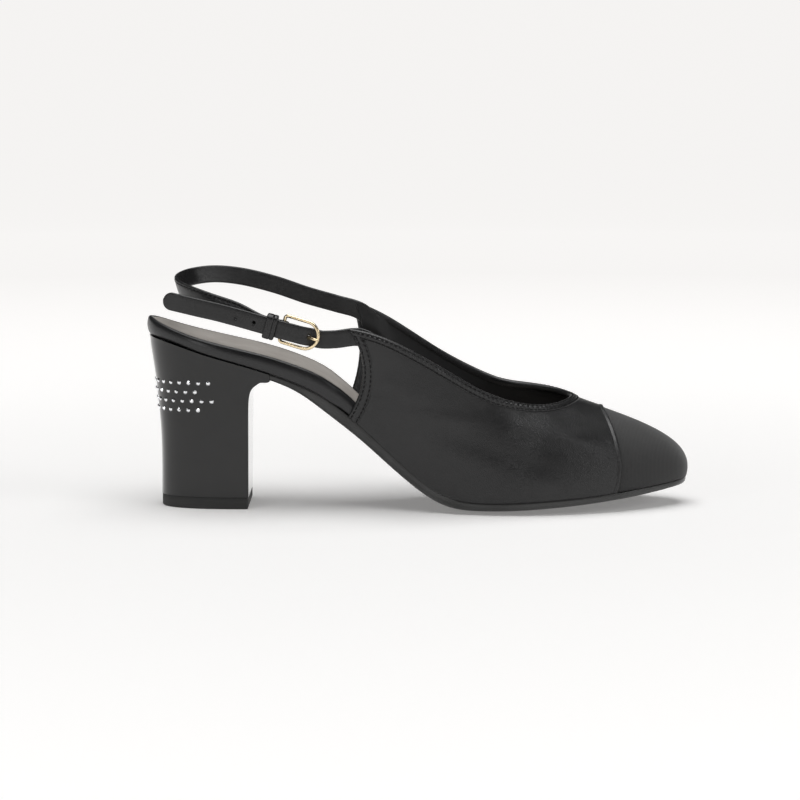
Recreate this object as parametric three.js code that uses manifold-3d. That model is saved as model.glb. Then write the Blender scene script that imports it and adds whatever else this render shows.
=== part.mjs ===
// A slingback pump for the right foot: up along +Z, toe along +X, outer side along -Y.
// All sizes are in millimetres. The shoe stands on its tread and its top piece, on z = 0.
import * as THREE from 'three';
import * as BufferGeometryUtils from 'three/addons/utils/BufferGeometryUtils.js';
import Module from 'manifold-3d';

const wasm = await Module();
wasm.setup();

// Driving sizes of the last and the bottom.
const length = 231.5; // heel back to toe tip
const treadWidth = 73; // sole edge to sole edge across the ball
const heelRise = 68.3; // how far the seat stands above the forepart
const toeSpring = 6.4; // how far the toe tip lifts
const soleThickness = 3.2; // at the edge of the forepart
const soleCrown = 1.8; // how far the tread bulges below the sole's edge
const soleProud = 0.5; // how far the sole's edge shows outside the upper
const waistTuck = 2.2; // how far the sole's edge hides under the waist
const toeTuck = 0.7; // how far it hides under the tip of the toe
const rimHeight = 7.2; // covered edge of the footbed at the heel
const rimRound = 1.6; // rounding of that edge
const lipWidth = 1.6; // rim's lip around the lining
const liningThickness = 0.8;

// The upper.
const collarHeight = 84.4; // floor to the inner top corner
const wall = 1.8; // leather and lining together
const bandWidth = 3.5; // folded band along the topline
const cutBandWidth = 4.2; // folded band along the rear cuts
const bandProud = 0.45;
const bandSlope = 0.4; // width over which the band's edge rises
const capThickness = 0.8;
const capDrop = 0.5; // how far the cap lies below the vamp
const capBacking = 1.1; // wall that stays behind the cap
const capLength = 30.8; // toe tip back to the farthest point of the seam
const capBow = 5; // how far the seam bends back at the ridge
const capBowHeight = 20; // height of the seam's farthest point, and of its bend
const capBlend = 8; // way over which the wall thickens behind the seam
const wallBelly = 6.5; // how far the fullest rib's lower handle bows outward
const cutSweep = 8; // how far forward the outer rear cut's handles lean

// The heel.
const heelTipLength = 38;
const heelTipWidth = 38;
const heelSeatWidth = 49.6;
const heelSetBack = 5.5; // tip's back edge, from the heel back
const heelLip = 53; // front end of the lip under the waist
const heelSquareness = 2.6; // of the tip's outline: 2 is an ellipse, more is squarer
const seatSquareness = 2.2; // of the outline under the footbed
const topPieceHeight = 5;
const topPieceInset = 0.25;

// Straps and buckle.
const strapHeight = 97; // floor to the strap's middle at its highest
const strapWidth = 7.6;
const strapThickness = 1.7;
const strapEdge = 0.45; // rounding of a strap's edges
const barX = 58.6; // buckle bar, from the heel back
const barZ = 77.6; // buckle bar, from the floor
const barY = -29.4; // buckle bar, from the shoe's axis
const strapFall = 15.4; // slope of the strap through the buckle, in degrees
const wireRadius = 0.75;
const buckleHeight = 11.3; // between the wire's middles
const buckleLength = 15.4;
const buckleRaise = 0.5; // buckle's middle above the strap's
const prongRadius = 0.6;
const chapeLeather = 1.1; // leather around the bar
const prongSlot = 2.6;
const keeperWidth = 5;
const keeperThickness = 1.1;
const keeperSlack = 0.1; // room beside the straps, past the clearance
const holeRadius = 1;
const holePitch = 7.75;
const freeHoles = 4; // holes beyond the prong
const freeLength = 51; // billet's tip, from the bar
const chapeLead = 9; // straight stretch of the sling before the bar
const rootSink = 0.6; // how much deeper than its clearance a strap's root lies, for the wall's bend

const clearance = 0.3; // between pieces that touch
const overcut = 1; // how far a cutting body passes through what it cuts
const sheetRoom = 0.15; // added where two bent sheets lie on each other

// The profile of the bottom from the heel back to the toe, at shares of the length.
// climb is a share of heelRise, spring of toeSpring, sole of soleThickness, rim of rimHeight
// and crown of soleCrown.
const profile = [
  { at: 0.0, climb: 1.0, spring: 0, sole: 0.9, rim: 1.15, crown: 0 },
  { at: 0.048, climb: 0.958, spring: 0, sole: 0.9, rim: 0.9, crown: 0 },
  { at: 0.104, climb: 0.899, spring: 0, sole: 0.9, rim: 0.88, crown: 0 },
  { at: 0.176, climb: 0.831, spring: 0, sole: 0.9, rim: 0.96, crown: 0 },
  { at: 0.229, climb: 0.776, spring: 0, sole: 0.86, rim: 1.05, crown: 0 },
  { at: 0.284, climb: 0.706, spring: 0, sole: 1.15, rim: 1.12, crown: 0.2 },
  { at: 0.32, climb: 0.643, spring: 0, sole: 1.65, rim: 1.2, crown: 0.4 },
  { at: 0.356, climb: 0.56, spring: 0, sole: 1.88, rim: 1.2, crown: 0.5 },
  { at: 0.392, climb: 0.462, spring: 0, sole: 1.86, rim: 1.08, crown: 0.6 },
  { at: 0.428, climb: 0.35, spring: 0, sole: 1.75, rim: 0.85, crown: 0.7 },
  { at: 0.464, climb: 0.237, spring: 0, sole: 1.6, rim: 0.66, crown: 0.8 },
  { at: 0.5, climb: 0.132, spring: 0, sole: 1.4, rim: 0.56, crown: 0.9 },
  { at: 0.536, climb: 0.053, spring: 0, sole: 1.25, rim: 0.5, crown: 1.0 },
  { at: 0.572, climb: 0.011, spring: 0, sole: 1.08, rim: 0.48, crown: 1.0 },
  { at: 0.61, climb: 0.0, spring: 0, sole: 1.0, rim: 0.48, crown: 1.0 },
  { at: 0.66, climb: 0.0, spring: 0.03, sole: 1.0, rim: 0.48, crown: 1.0 },
  { at: 0.72, climb: 0.0, spring: 0.14, sole: 1.0, rim: 0.48, crown: 0.95 },
  { at: 0.8, climb: 0.0, spring: 0.31, sole: 0.92, rim: 0.48, crown: 0.8 },
  { at: 0.88, climb: 0.0, spring: 0.55, sole: 0.85, rim: 0.48, crown: 0.5 },
  { at: 0.95, climb: 0.0, spring: 0.82, sole: 0.8, rim: 0.48, crown: 0.2 },
  { at: 1.0, climb: 0.0, spring: 1.0, sole: 0.72, rim: 0.48, crown: 0.0 },
];

// The outline of the last's bottom: stations at shares of the length, edges at shares of half
// the tread width, outer side and inner side.
const plan = [
  { at: 0.0, outer: 0.0, inner: 0.0 },
  { at: 0.0075, outer: -0.19, inner: 0.19 },
  { at: 0.033, outer: -0.385, inner: 0.385 },
  { at: 0.099, outer: -0.615, inner: 0.615 },
  { at: 0.181, outer: -0.69, inner: 0.685 },
  { at: 0.268, outer: -0.69, inner: 0.66 },
  { at: 0.35, outer: -0.675, inner: 0.58 },
  { at: 0.449, outer: -0.715, inner: 0.535 },
  { at: 0.549, outer: -0.865, inner: 0.67 },
  { at: 0.631, outer: -0.98, inner: 0.88 },
  { at: 0.7, outer: -1.0, inner: 1.0 },
  { at: 0.769, outer: -0.93, inner: 0.99 },
  { at: 0.829, outer: -0.81, inner: 0.885 },
  { at: 0.881, outer: -0.66, inner: 0.745 },
  { at: 0.924, outer: -0.5, inner: 0.615 },
  { at: 0.961, outer: -0.325, inner: 0.485 },
  { at: 0.989, outer: -0.135, inner: 0.32 },
  { at: 1.0, outer: 0.1, inner: 0.1 },
];

// Ribs of the upper, from the outer rear cut round the toe to the inner rear cut. Each stands
// on the outline at station foot and ends on the topline at x, y, z, which are shares of the
// length, half the tread width and the collar height. Its two handles shape it: belly is a share
// of wallBelly, outward, and sweep of cutSweep, forward. lift and drop are shares of the rib's
// height, and reach is a share of the way back from the topline to the foot.
const ribs = [
  { foot: 6.25, x: 0.3755, y: -0.9, z: 0.922, belly: 0.77, lift: 0.35, reach: 0.0, drop: 0.33, sweep: 1 },
  { foot: 7, x: 0.4425, y: -0.945, z: 0.872, belly: 0.8, lift: 0.35, reach: 0.0, drop: 0.33, sweep: 0.44 },
  { foot: 8, x: 0.5335, y: -0.962, z: 0.742, belly: 0.71, lift: 0.35, reach: 0.0, drop: 0.33, sweep: 0.125 },
  { foot: 9, x: 0.609, y: -0.9, z: 0.622, belly: 0.52, lift: 0.37, reach: 0.2, drop: 0.3, sweep: 0 },
  { foot: 10, x: 0.665, y: -0.79, z: 0.562, belly: 0.46, lift: 0.4, reach: 0.4, drop: 0.24, sweep: 0 },
  { foot: 11, x: 0.7105, y: -0.635, z: 0.5355, belly: 0.5, lift: 0.43, reach: 0.52, drop: 0.22, sweep: 0 },
  { foot: 12, x: 0.741, y: -0.47, z: 0.53, belly: 0.54, lift: 0.45, reach: 0.6, drop: 0.25, sweep: 0 },
  { foot: 13, x: 0.7605, y: -0.31, z: 0.535, belly: 0.6, lift: 0.46, reach: 0.64, drop: 0.28, sweep: 0 },
  { foot: 14, x: 0.772, y: -0.17, z: 0.5405, belly: 0.66, lift: 0.465, reach: 0.66, drop: 0.3, sweep: 0 },
  { foot: 15, x: 0.7785, y: -0.06, z: 0.544, belly: 0.7, lift: 0.466, reach: 0.66, drop: 0.315, sweep: 0 },
  { foot: 16, x: 0.7815, y: 0.03, z: 0.5455, belly: 0.72, lift: 0.466, reach: 0.66, drop: 0.322, sweep: 0 },
  { foot: 17, x: 0.782, y: 0.11, z: 0.5465, belly: 0.72, lift: 0.466, reach: 0.66, drop: 0.322, sweep: 0 },
  { foot: 18, x: 0.781, y: 0.2, z: 0.5475, belly: 0.72, lift: 0.466, reach: 0.66, drop: 0.322, sweep: 0 },
  { foot: 19, x: 0.777, y: 0.31, z: 0.55, belly: 0.7, lift: 0.466, reach: 0.66, drop: 0.315, sweep: 0 },
  { foot: 20, x: 0.769, y: 0.43, z: 0.555, belly: 0.66, lift: 0.46, reach: 0.65, drop: 0.3, sweep: 0 },
  { foot: 21, x: 0.755, y: 0.55, z: 0.563, belly: 0.58, lift: 0.45, reach: 0.62, drop: 0.28, sweep: 0 },
  { foot: 22, x: 0.7335, y: 0.665, z: 0.572, belly: 0.52, lift: 0.44, reach: 0.56, drop: 0.25, sweep: 0 },
  { foot: 23, x: 0.7015, y: 0.785, z: 0.5795, belly: 0.46, lift: 0.42, reach: 0.48, drop: 0.22, sweep: 0 },
  { foot: 24, x: 0.656, y: 0.88, z: 0.597, belly: 0.49, lift: 0.4, reach: 0.36, drop: 0.24, sweep: 0 },
  { foot: 25, x: 0.6025, y: 0.94, z: 0.652, belly: 0.65, lift: 0.37, reach: 0.15, drop: 0.3, sweep: 0 },
  { foot: 26, x: 0.531, y: 0.97, z: 0.758, belly: 0.86, lift: 0.35, reach: 0.0, drop: 0.33, sweep: 0.0625 },
  { foot: 27, x: 0.445, y: 0.965, z: 0.908, belly: 1, lift: 0.35, reach: 0.0, drop: 0.33, sweep: 0.25 },
  { foot: 27.8, x: 0.3735, y: 0.91, z: 1.0, belly: 0.92, lift: 0.35, reach: 0.0, drop: 0.33, sweep: 0.69 },
];

// Levels of the heel block: height is a share of the way from its tip up to the lip, flare of
// the way from the tip's width to the seat's width, back of heelSetBack and front of the way
// from the breast to the lip. Above the lip, rise is a share of the seat's height over it.
const heelLevels = [
  { height: 0.0, rise: 0, flare: 0.0, back: 1.0, front: 0.0 },
  { height: 0.3, rise: 0, flare: 0.06, back: 1.02, front: 0.01 },
  { height: 0.57, rise: 0, flare: 0.2, back: 0.95, front: 0.02 },
  { height: 0.75, rise: 0, flare: 0.35, back: 0.82, front: 0.03 },
  { height: 0.835, rise: 0, flare: 0.46, back: 0.75, front: 0.055 },
  { height: 0.9, rise: 0, flare: 0.56, back: 0.69, front: 0.12 },
  { height: 0.945, rise: 0, flare: 0.63, back: 0.65, front: 0.26 },
  { height: 0.972, rise: 0, flare: 0.67, back: 0.62, front: 0.44 },
  { height: 0.99, rise: 0, flare: 0.7, back: 0.6, front: 0.66 },
  { height: 1.0, rise: 0, flare: 0.72, back: 0.59, front: 1.0 },
  { height: 1.0, rise: 0.25, flare: 0.82, back: 0.47, front: 1.0 },
  { height: 1.0, rise: 0.55, flare: 0.93, back: 0.32, front: 1.0 },
  { height: 1.0, rise: 0.85, flare: 0.99, back: 0.19, front: 1.0 },
  { height: 1.0, rise: 1.15, flare: 1.0, back: 0.13, front: 1.0 },
];

// The sling strap's middle line behind its roots, from the inner side round the heel to the
// outer side: shares of the length, half the tread width and the strap height. lean is in
// degrees, and tips the strap's upper edge outward.
const slingRoute = [
  { x: 0.345, y: 0.865, z: 0.858, lean: 0 },
  { x: 0.29, y: 0.842, z: 0.896, lean: 0 },
  { x: 0.23, y: 0.8, z: 0.946, lean: 2 },
  { x: 0.168, y: 0.725, z: 0.985, lean: 8 },
  { x: 0.118, y: 0.6, z: 1.0, lean: 16 },
  { x: 0.08, y: 0.42, z: 0.994, lean: 22 },
  { x: 0.062, y: 0.2, z: 0.982, lean: 24 },
  { x: 0.058, y: 0.0, z: 0.97, lean: 20 },
  { x: 0.063, y: -0.2, z: 0.957, lean: 14 },
  { x: 0.084, y: -0.42, z: 0.94, lean: 8 },
  { x: 0.122, y: -0.6, z: 0.912, lean: 4 },
  { x: 0.17, y: -0.71, z: 0.876, lean: 1 },
];

// The billet's middle line from the topline to the keeper: along is a share of the buckle's
// length from its bar, up of the strap's width, and lift of the way out from the billet's place
// under the arc to its place over the bar.
const billetRun = [
  { along: 1.43, up: 0.25, lift: 0.1 },
  { along: 1.08, up: 0.05, lift: 0 },
  { along: 0.84, up: 0.03, lift: 0 },
  { along: 0.58, up: 0, lift: 0.68 },
  { along: 0.3, up: 0, lift: 0.9 },
  { along: 0, up: 0, lift: 1 },
];

// The billet's free end, from the keeper to its tip: along is a share of freeLength, up and
// out are shares of the strap's width.
const freeEnd = [
  { along: -0.215, up: 0.0, out: 0.303 },
  { along: -0.373, up: 0.007, out: 0.276 },
  { along: -0.549, up: -0.007, out: 0.237 },
  { along: -0.716, up: -0.066, out: 0.132 },
  { along: -0.873, up: -0.118, out: -0.026 },
  { along: -1, up: -0.164, out: -0.21 },
];

// The prong's middle line past its eye: along is a share of the buckle's length, out of the
// way from the bar to the prong's tip on the arc, and girth of the prong's radius.
const prongRun = [
  { along: 0.1, out: 0.06, girth: 1 },
  { along: 0.3, out: 0.14, girth: 1 },
  { along: 0.5, out: 0.17, girth: 1 },
  { along: 0.66, out: 0.25, girth: 1 },
  { along: 0.76, out: 0.5, girth: 1 },
  { along: 0.87, out: 0.85, girth: 1 },
  { along: 0.96, out: 0.98, girth: 0.95 },
  { along: 1.02, out: 0.99, girth: 0.8 },
  { along: 1.045, out: 0.98, girth: 0.5 },
];

// A smooth line through hand-set values: a natural cubic spline, straight beyond its ends.
function smoothLine(at, values) {
  const last = at.length - 1;
  const bend = new Array(last + 1).fill(0);
  const pull = new Array(last + 1).fill(0);
  for (let i = 1; i < last; i++) {
    const span = at[i + 1] - at[i - 1];
    const share = (at[i] - at[i - 1]) / span;
    const pivot = share * bend[i - 1] + 2;
    const ahead = (values[i + 1] - values[i]) / (at[i + 1] - at[i]);
    const behind = (values[i] - values[i - 1]) / (at[i] - at[i - 1]);
    bend[i] = (share - 1) / pivot;
    pull[i] = ((6 * (ahead - behind)) / span - share * pull[i - 1]) / pivot;
  }
  for (let i = last - 1; i >= 0; i--) {
    bend[i] = bend[i] * bend[i + 1] + pull[i];
  }
  return (x) => {
    const inside = Math.min(Math.max(x, at[0]), at[last]);
    let i = 0;
    while (i < last - 1 && at[i + 1] < inside) {
      i++;
    }
    const step = at[i + 1] - at[i];
    const b = (inside - at[i]) / step;
    const a = 1 - b;
    const curve = ((a ** 3 - a) * bend[i] + (b ** 3 - b) * bend[i + 1]) * (step ** 2 / 6);
    const slope =
      (values[i + 1] - values[i]) / step +
      (((3 * b * b - 1) * bend[i + 1] - (3 * a * a - 1) * bend[i]) * step) / 6;
    return a * values[i] + b * values[i + 1] + curve + slope * (x - inside);
  };
}

const smoothColumn = (rows, name, scale, stretch) =>
  smoothLine(
    rows.map((row, i) => (stretch ? row.at * stretch : i)),
    rows.map((row) => row[name] * scale),
  );

const mix = (a, b, share) => a + (b - a) * share;

const smoothStep = (from, to, x) => {
  const share = Math.min(Math.max((x - from) / (to - from), 0), 1);
  return share * share * (3 - 2 * share);
};

const radians = THREE.MathUtils.degToRad;
const halfTread = treadWidth / 2;

// Triangles are collected with their corners, and corners that meet are merged. A triangle
// with two corners in one place is left out.
class Skin {
  constructor() {
    this.corners = [];
  }

  face(a, b, c) {
    const near = 1e-4;
    if (a.distanceTo(b) < near || b.distanceTo(c) < near || c.distanceTo(a) < near) {
      return;
    }
    this.corners.push(...a.toArray(), ...b.toArray(), ...c.toArray());
  }

  quad(a, b, c, d) {
    this.face(a, b, c);
    this.face(a, c, d);
  }

  // Two rows of points of one length, closed round where the rows are rings.
  strip(lower, upper, closed) {
    const count = lower.length;
    for (let i = 0; i < count - (closed ? 0 : 1); i++) {
      const next = (i + 1) % count;
      this.quad(lower[i], lower[next], upper[next], upper[i]);
    }
  }

  // The finished body, turned so that its faces point out.
  geometry() {
    const loose = new THREE.BufferGeometry();
    loose.setAttribute('position', new THREE.Float32BufferAttribute(this.corners, 3));
    const merged = BufferGeometryUtils.mergeVertices(loose, 1e-4);
    const place = merged.getAttribute('position');
    const order = Array.from(merged.getIndex().array);
    const point = (i) => new THREE.Vector3().fromBufferAttribute(place, i);
    let volume = 0;
    for (let i = 0; i < order.length; i += 3) {
      volume += point(order[i]).dot(point(order[i + 1]).cross(point(order[i + 2])));
    }
    if (volume < 0) {
      for (let i = 0; i < order.length; i += 3) {
        [order[i], order[i + 1]] = [order[i + 1], order[i]];
      }
    }
    merged.setIndex(order);
    return merged;
  }
}

// A body through rings of one count, with flat ends.
function loft(rings) {
  const skin = new Skin();
  for (let i = 0; i < rings.length - 1; i++) {
    skin.strip(rings[i], rings[i + 1], true);
  }
  const middle = (ring) =>
    ring.reduce((sum, point) => sum.add(point), new THREE.Vector3()).divideScalar(ring.length);
  const first = rings[0];
  const last = rings[rings.length - 1];
  for (let i = 0; i < first.length; i++) {
    const next = (i + 1) % first.length;
    skin.face(middle(first), first[next], first[i]);
    skin.face(middle(last), last[i], last[next]);
  }
  return skin.geometry();
}

// A body through rings that close on the first one again, such as a buckle's wire.
function loopLoft(rings) {
  const skin = new Skin();
  for (let i = 0; i < rings.length; i++) {
    skin.strip(rings[i], rings[(i + 1) % rings.length], true);
  }
  return skin.geometry();
}

// A sheet with thickness: two grids of points, joined round their four edges.
function sheet(outer, inner) {
  const skin = new Skin();
  const last = outer.length - 1;
  for (let i = 0; i < last; i++) {
    skin.strip(outer[i], outer[i + 1], false);
    skin.strip(inner[i + 1], inner[i], false);
  }
  skin.strip(inner[0], outer[0], false);
  skin.strip(outer[last], inner[last], false);
  const edge = (grid, j) => grid.map((row) => row[j]);
  const top = outer[0].length - 1;
  skin.strip(edge(outer, 0), edge(inner, 0), false);
  skin.strip(edge(inner, top), edge(outer, top), false);
  return skin.geometry();
}

function solidOf(geometry) {
  const plain = new THREE.BufferGeometry();
  plain.setAttribute('position', geometry.getAttribute('position').clone());
  if (geometry.getIndex()) {
    plain.setIndex(geometry.getIndex().clone());
  }
  const merged = BufferGeometryUtils.mergeVertices(plain, 1e-4);
  const mesh = new wasm.Mesh({
    numProp: 3,
    vertProperties: new Float32Array(merged.getAttribute('position').array),
    triVerts: new Uint32Array(merged.getIndex().array),
  });
  return new wasm.Manifold(mesh);
}

function geometryOf(solid) {
  const mesh = solid.getMesh();
  const geometry = new THREE.BufferGeometry();
  geometry.setAttribute('position', new THREE.BufferAttribute(mesh.vertProperties, 3));
  geometry.setIndex(new THREE.BufferAttribute(mesh.triVerts, 1));
  return geometry;
}

// The bottom: heights along the shoe, and its outline.
const climb = smoothColumn(profile, 'climb', heelRise, length);
const spring = smoothColumn(profile, 'spring', toeSpring, length);
const soleShare = smoothColumn(profile, 'sole', soleThickness, length);
const rimShare = smoothColumn(profile, 'rim', rimHeight, length);
const crownShare = smoothColumn(profile, 'crown', soleCrown, length);
const seamLine = (x) => soleThickness + soleCrown + climb(x) + spring(x);

const toeStation = plan.length - 1;
const stations = 2 * toeStation;
const wrap = 4;
const stationRow = (k) => {
  const turn = (k + stations) % stations;
  return turn <= toeStation ? plan[turn] : plan[stations - turn];
};
const stationKeys = [];
const stationX = [];
const stationY = [];
for (let k = -wrap; k <= stations + wrap; k++) {
  const turn = (k + stations) % stations;
  const row = stationRow(k);
  stationKeys.push(k);
  stationX.push(row.at * length);
  stationY.push((turn <= toeStation ? row.outer : row.inner) * halfTread);
}
const outlineX = smoothLine(stationKeys, stationX);
const outlineY = smoothLine(stationKeys, stationY);
const outline = (k) => new THREE.Vector2(outlineX(k), outlineY(k));

// The direction straight out of the outline, in plan.
function outward(k) {
  const step = 0.01;
  const along = outline(k + step).sub(outline(k - step)).normalize();
  return new THREE.Vector2(along.y, -along.x);
}

// The outline's half width at a place along the shoe, for either side.
const widthSteps = 160;
const widthRows = [-1, 1].map((side) => {
  const rows = [];
  for (let i = 0; i <= widthSteps; i++) {
    const k = (toeStation * i) / widthSteps;
    rows.push(outline(side < 0 ? k : stations - k));
  }
  return rows;
});
function halfWidth(x, side) {
  const rows = widthRows[side < 0 ? 0 : 1];
  let i = 0;
  while (i < widthSteps - 1 && rows[i + 1].x < x) {
    i++;
  }
  const share = Math.min(Math.max((x - rows[i].x) / (rows[i + 1].x - rows[i].x), 0), 1);
  return Math.max(Math.abs(mix(rows[i].y, rows[i + 1].y, share)), 1);
}

// The underside of the footbed sags to the middle as the tread does.
const crownPower = 3;
function bedUnderside(x, y) {
  const share = Math.min(Math.abs(y) / halfWidth(x, y), 1);
  return seamLine(x) - crownShare(x) * (1 - share ** crownPower);
}
const bedTop = (x) => seamLine(x) + rimShare(x);

// A closed outline in plan, from the heel end to the toe along the outer side and back.
const outlinePoints = (count) => {
  const points = [];
  for (let i = 0; i < 2 * count; i++) {
    points.push(outline((toeStation * i) / count));
  }
  return points;
};

// The same outline, cut square at a place along the shoe.
function cutOutline(count, from, across) {
  let start = 0;
  while (outlineX(start) < from) {
    start += 0.01;
  }
  const points = [];
  for (let i = 0; i <= 2 * count; i++) {
    points.push(outline(mix(start, stations - start, i / (2 * count))));
  }
  const near = points[0];
  const far = points[2 * count];
  near.x = from;
  far.x = from;
  for (let m = 1; m < across; m++) {
    points.push(new THREE.Vector2(from, mix(far.y, near.y, m / across)));
  }
  return points;
}

// Moves each point of a closed outline straight out by its own distance. A square end keeps
// its place along the shoe.
function offsetOutline(points, distance, squareEnd) {
  const count = points.length;
  return points.map((point, i) => {
    const before = points[(i + count - 1) % count];
    const after = points[(i + 1) % count];
    const into = point.clone().sub(before).normalize();
    const away = after.clone().sub(point).normalize();
    const along = into.clone().add(away).normalize();
    const out = new THREE.Vector2(along.y, -along.x);
    const widen = 1 / Math.max(along.dot(into), 0.7);
    const moved = point.clone().addScaledVector(out, distance(point.x, point.y) * widen);
    if (squareEnd && point.x === points[0].x) {
      moved.x = point.x;
    }
    return moved;
  });
}

// A flat body on an outline of 2 * count points or more: rows from its underside to its top
// say how far out each ring lies and how high, and both faces are filled across. At a square
// end the top ring alone moves in.
function slab(points, count, across, rows) {
  const skin = new Skin();
  const squareEnd = points.length > 2 * count;
  const last = rows.length - 1;
  const rings = rows.map((row, i) => {
    const flat = offsetOutline(points, row.out, squareEnd && i < last);
    return flat.map((p) => new THREE.Vector3(p.x, p.y, row.z(p.x, p.y)));
  });
  for (let i = 0; i < rings.length - 1; i++) {
    skin.strip(rings[i], rings[i + 1], true);
  }
  const fill = (ring, height) => {
    const rowsAcross = [];
    for (let i = 0; i <= count; i++) {
      const near = ring[i];
      const far = ring[(2 * count - i) % ring.length];
      const row = [];
      for (let m = 0; m <= across; m++) {
        if (m === 0 || m === across) {
          row.push(m === 0 ? near : far);
        } else if (i === 0 && squareEnd) {
          row.push(ring[ring.length - m]);
        } else {
          const x = mix(near.x, far.x, m / across);
          const y = mix(near.y, far.y, m / across);
          row.push(i === 0 || i === count ? near : new THREE.Vector3(x, y, height(x, y)));
        }
      }
      rowsAcross.push(row);
    }
    return rowsAcross;
  };
  const under = fill(rings[0], rows[0].z);
  const over = fill(rings[last], rows[last].z);
  for (let i = 0; i < count; i++) {
    skin.strip(under[i], under[i + 1], false);
    skin.strip(over[i + 1], over[i], false);
  }
  return skin.geometry();
}

// The sole: flat on the floor at the ball, tucked under the waist, proud round the forepart.
const waistEnd = length * 0.56;
const soleOut = (x) => {
  const forepart = smoothStep(waistEnd - length * 0.12, waistEnd + length * 0.03, x);
  const tip = smoothStep(length * 0.86, length * 0.98, x);
  return mix(-waistTuck, soleProud, forepart) - (soleProud + toeTuck) * tip;
};
const treadSink = 0.3; // how far the crown would pass below the floor without its flat
const soleRound = 0.9;
function treadHeight(x, y) {
  const share = Math.min(Math.abs(y) / halfWidth(x, y), 1);
  const crown = crownShare(x) + treadSink * smoothStep(length * 0.5, length * 0.58, x);
  return Math.max(seamLine(x) - soleShare(x) - crown * (1 - share ** crownPower), 0);
}
function makeOutsole() {
  const count = 34;
  const across = 6;
  const points = cutOutline(count, heelLip + clearance, across);
  const edge = (share) => (x) => mix(treadHeight(x, halfWidth(x, 1)), seamLine(x) - clearance, share);
  return slab(points, count, across, [
    { out: (x) => soleOut(x) - soleRound * 2.4, z: treadHeight },
    { out: (x) => soleOut(x) - soleRound * 0.6, z: (x, y) => mix(treadHeight(x, y), edge(0.2)(x), 0.6) },
    { out: soleOut, z: edge(0.45) },
    { out: (x) => soleOut(x) - soleRound * 0.1, z: (x) => seamLine(x) - clearance },
    { out: (x) => soleOut(x) - soleRound * 3, z: (x, y) => bedUnderside(x, y) - clearance - sheetRoom },
  ]);
}

// The footbed shows its covered rim behind the upper, and lies inside the upper in front.
const tuckFrom = length * 0.335;
const tuckTo = length * 0.36;
const capSeam = length - capLength;
const capDepth = capDrop + capThickness + clearance + capBacking - wall;
const wallDepth = (x) =>
  wall + capDepth * smoothStep(capSeam - 2 * capBlend, capSeam - capBlend, x);
const bedOut = (x) => -(wallDepth(x) + clearance) * smoothStep(tuckFrom, tuckTo, x);
const rimSection = [
  { out: -1.6, up: 0.0 },
  { out: -0.5, up: 0.08 },
  { out: 0.0, up: 0.3 },
  { out: 0.1, up: 0.55 },
  { out: -0.1, up: 0.8 },
  { out: -0.5, up: 0.95 },
  { out: -1.0, up: 1.0 },
];
const bedStations = 36;
const bedAcross = 6;
function makeFootbed() {
  const rows = rimSection.map((row) => ({
    out: (x) => bedOut(x) + row.out * rimRound,
    z: (x, y) => (row.up === 0 ? bedUnderside(x, y) : seamLine(x) + rimShare(x) * row.up),
  }));
  const lipIn = rimRound + lipWidth * 0.5;
  const recess = liningThickness;
  rows.push({ out: (x) => bedOut(x) - lipIn, z: (x) => bedTop(x) - recess * 0.05 });
  rows.push({ out: (x) => bedOut(x) - lipIn - recess * 0.25, z: (x) => bedTop(x) - recess });
  return slab(outlinePoints(bedStations), bedStations, bedAcross, rows);
}

function makeSockLining() {
  const edgeIn = rimRound + lipWidth * 0.5 + liningThickness * 0.25 + clearance;
  const low = (x) => bedTop(x) - liningThickness + clearance;
  return slab(outlinePoints(bedStations), bedStations, bedAcross, [
    { out: (x) => bedOut(x) - edgeIn - liningThickness * 0.25, z: low },
    { out: (x) => bedOut(x) - edgeIn, z: (x) => low(x) + liningThickness * 0.4 },
    { out: (x) => bedOut(x) - edgeIn, z: (x) => low(x) + liningThickness * 0.75 },
    { out: (x) => bedOut(x) - edgeIn - liningThickness * 0.5, z: (x) => low(x) + liningThickness },
  ]);
}

// The heel: D-shaped levels, cut off under the footbed.
const heelSides = 26;
function heelRing(z, back, breast, front, half, squareness) {
  const ring = [new THREE.Vector3(front, -half, z)];
  for (let i = 0; i <= heelSides; i++) {
    const turn = mix(-Math.PI / 2, Math.PI / 2, i / heelSides);
    const away = Math.max(Math.cos(turn), 0) ** (2 / squareness);
    const aside = Math.abs(Math.sin(turn)) ** (2 / squareness) * Math.sign(turn);
    ring.push(new THREE.Vector3(breast - (breast - back) * away, half * aside, z));
  }
  ring.push(new THREE.Vector3(front, half, z));
  ring.push(new THREE.Vector3(front, half / 3, z));
  ring.push(new THREE.Vector3(front, -half / 3, z));
  return ring;
}

const heelBreast = heelSetBack + heelTipLength;
const heelBottom = topPieceHeight + clearance;
function makeHeel() {
  const lipTop = seamLine(heelLip) - clearance;
  const lipUnder = lipTop - soleShare(heelLip);
  const seatTop = seamLine(0);
  const levels = heelLevels.map((row) => {
    const z = row.rise > 0 ? mix(lipUnder, seatTop, row.rise) : mix(heelBottom, lipUnder, row.height);
    const half = mix(heelTipWidth, heelSeatWidth, row.flare) / 2;
    const front = mix(heelBreast, heelLip, row.front);
    const square = mix(heelSquareness, seatSquareness, row.flare);
    return heelRing(z, heelSetBack * row.back, heelBreast, front, half, square);
  });
  const block = solidOf(loft(levels));
  const margin = 8;
  const above = seatTop + heelRise;
  const cutterRows = [];
  const steps = 22;
  for (let i = 0; i <= steps; i++) {
    const x = mix(-margin, heelLip + margin, i / steps);
    const z = seamLine(x) - clearance;
    const half = heelSeatWidth / 2 + margin;
    cutterRows.push([
      new THREE.Vector3(x, -half, z),
      new THREE.Vector3(x, half, z),
      new THREE.Vector3(x, half, above),
      new THREE.Vector3(x, -half, above),
    ]);
  }
  return geometryOf(block.subtract(solidOf(loft(cutterRows))));
}

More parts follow.
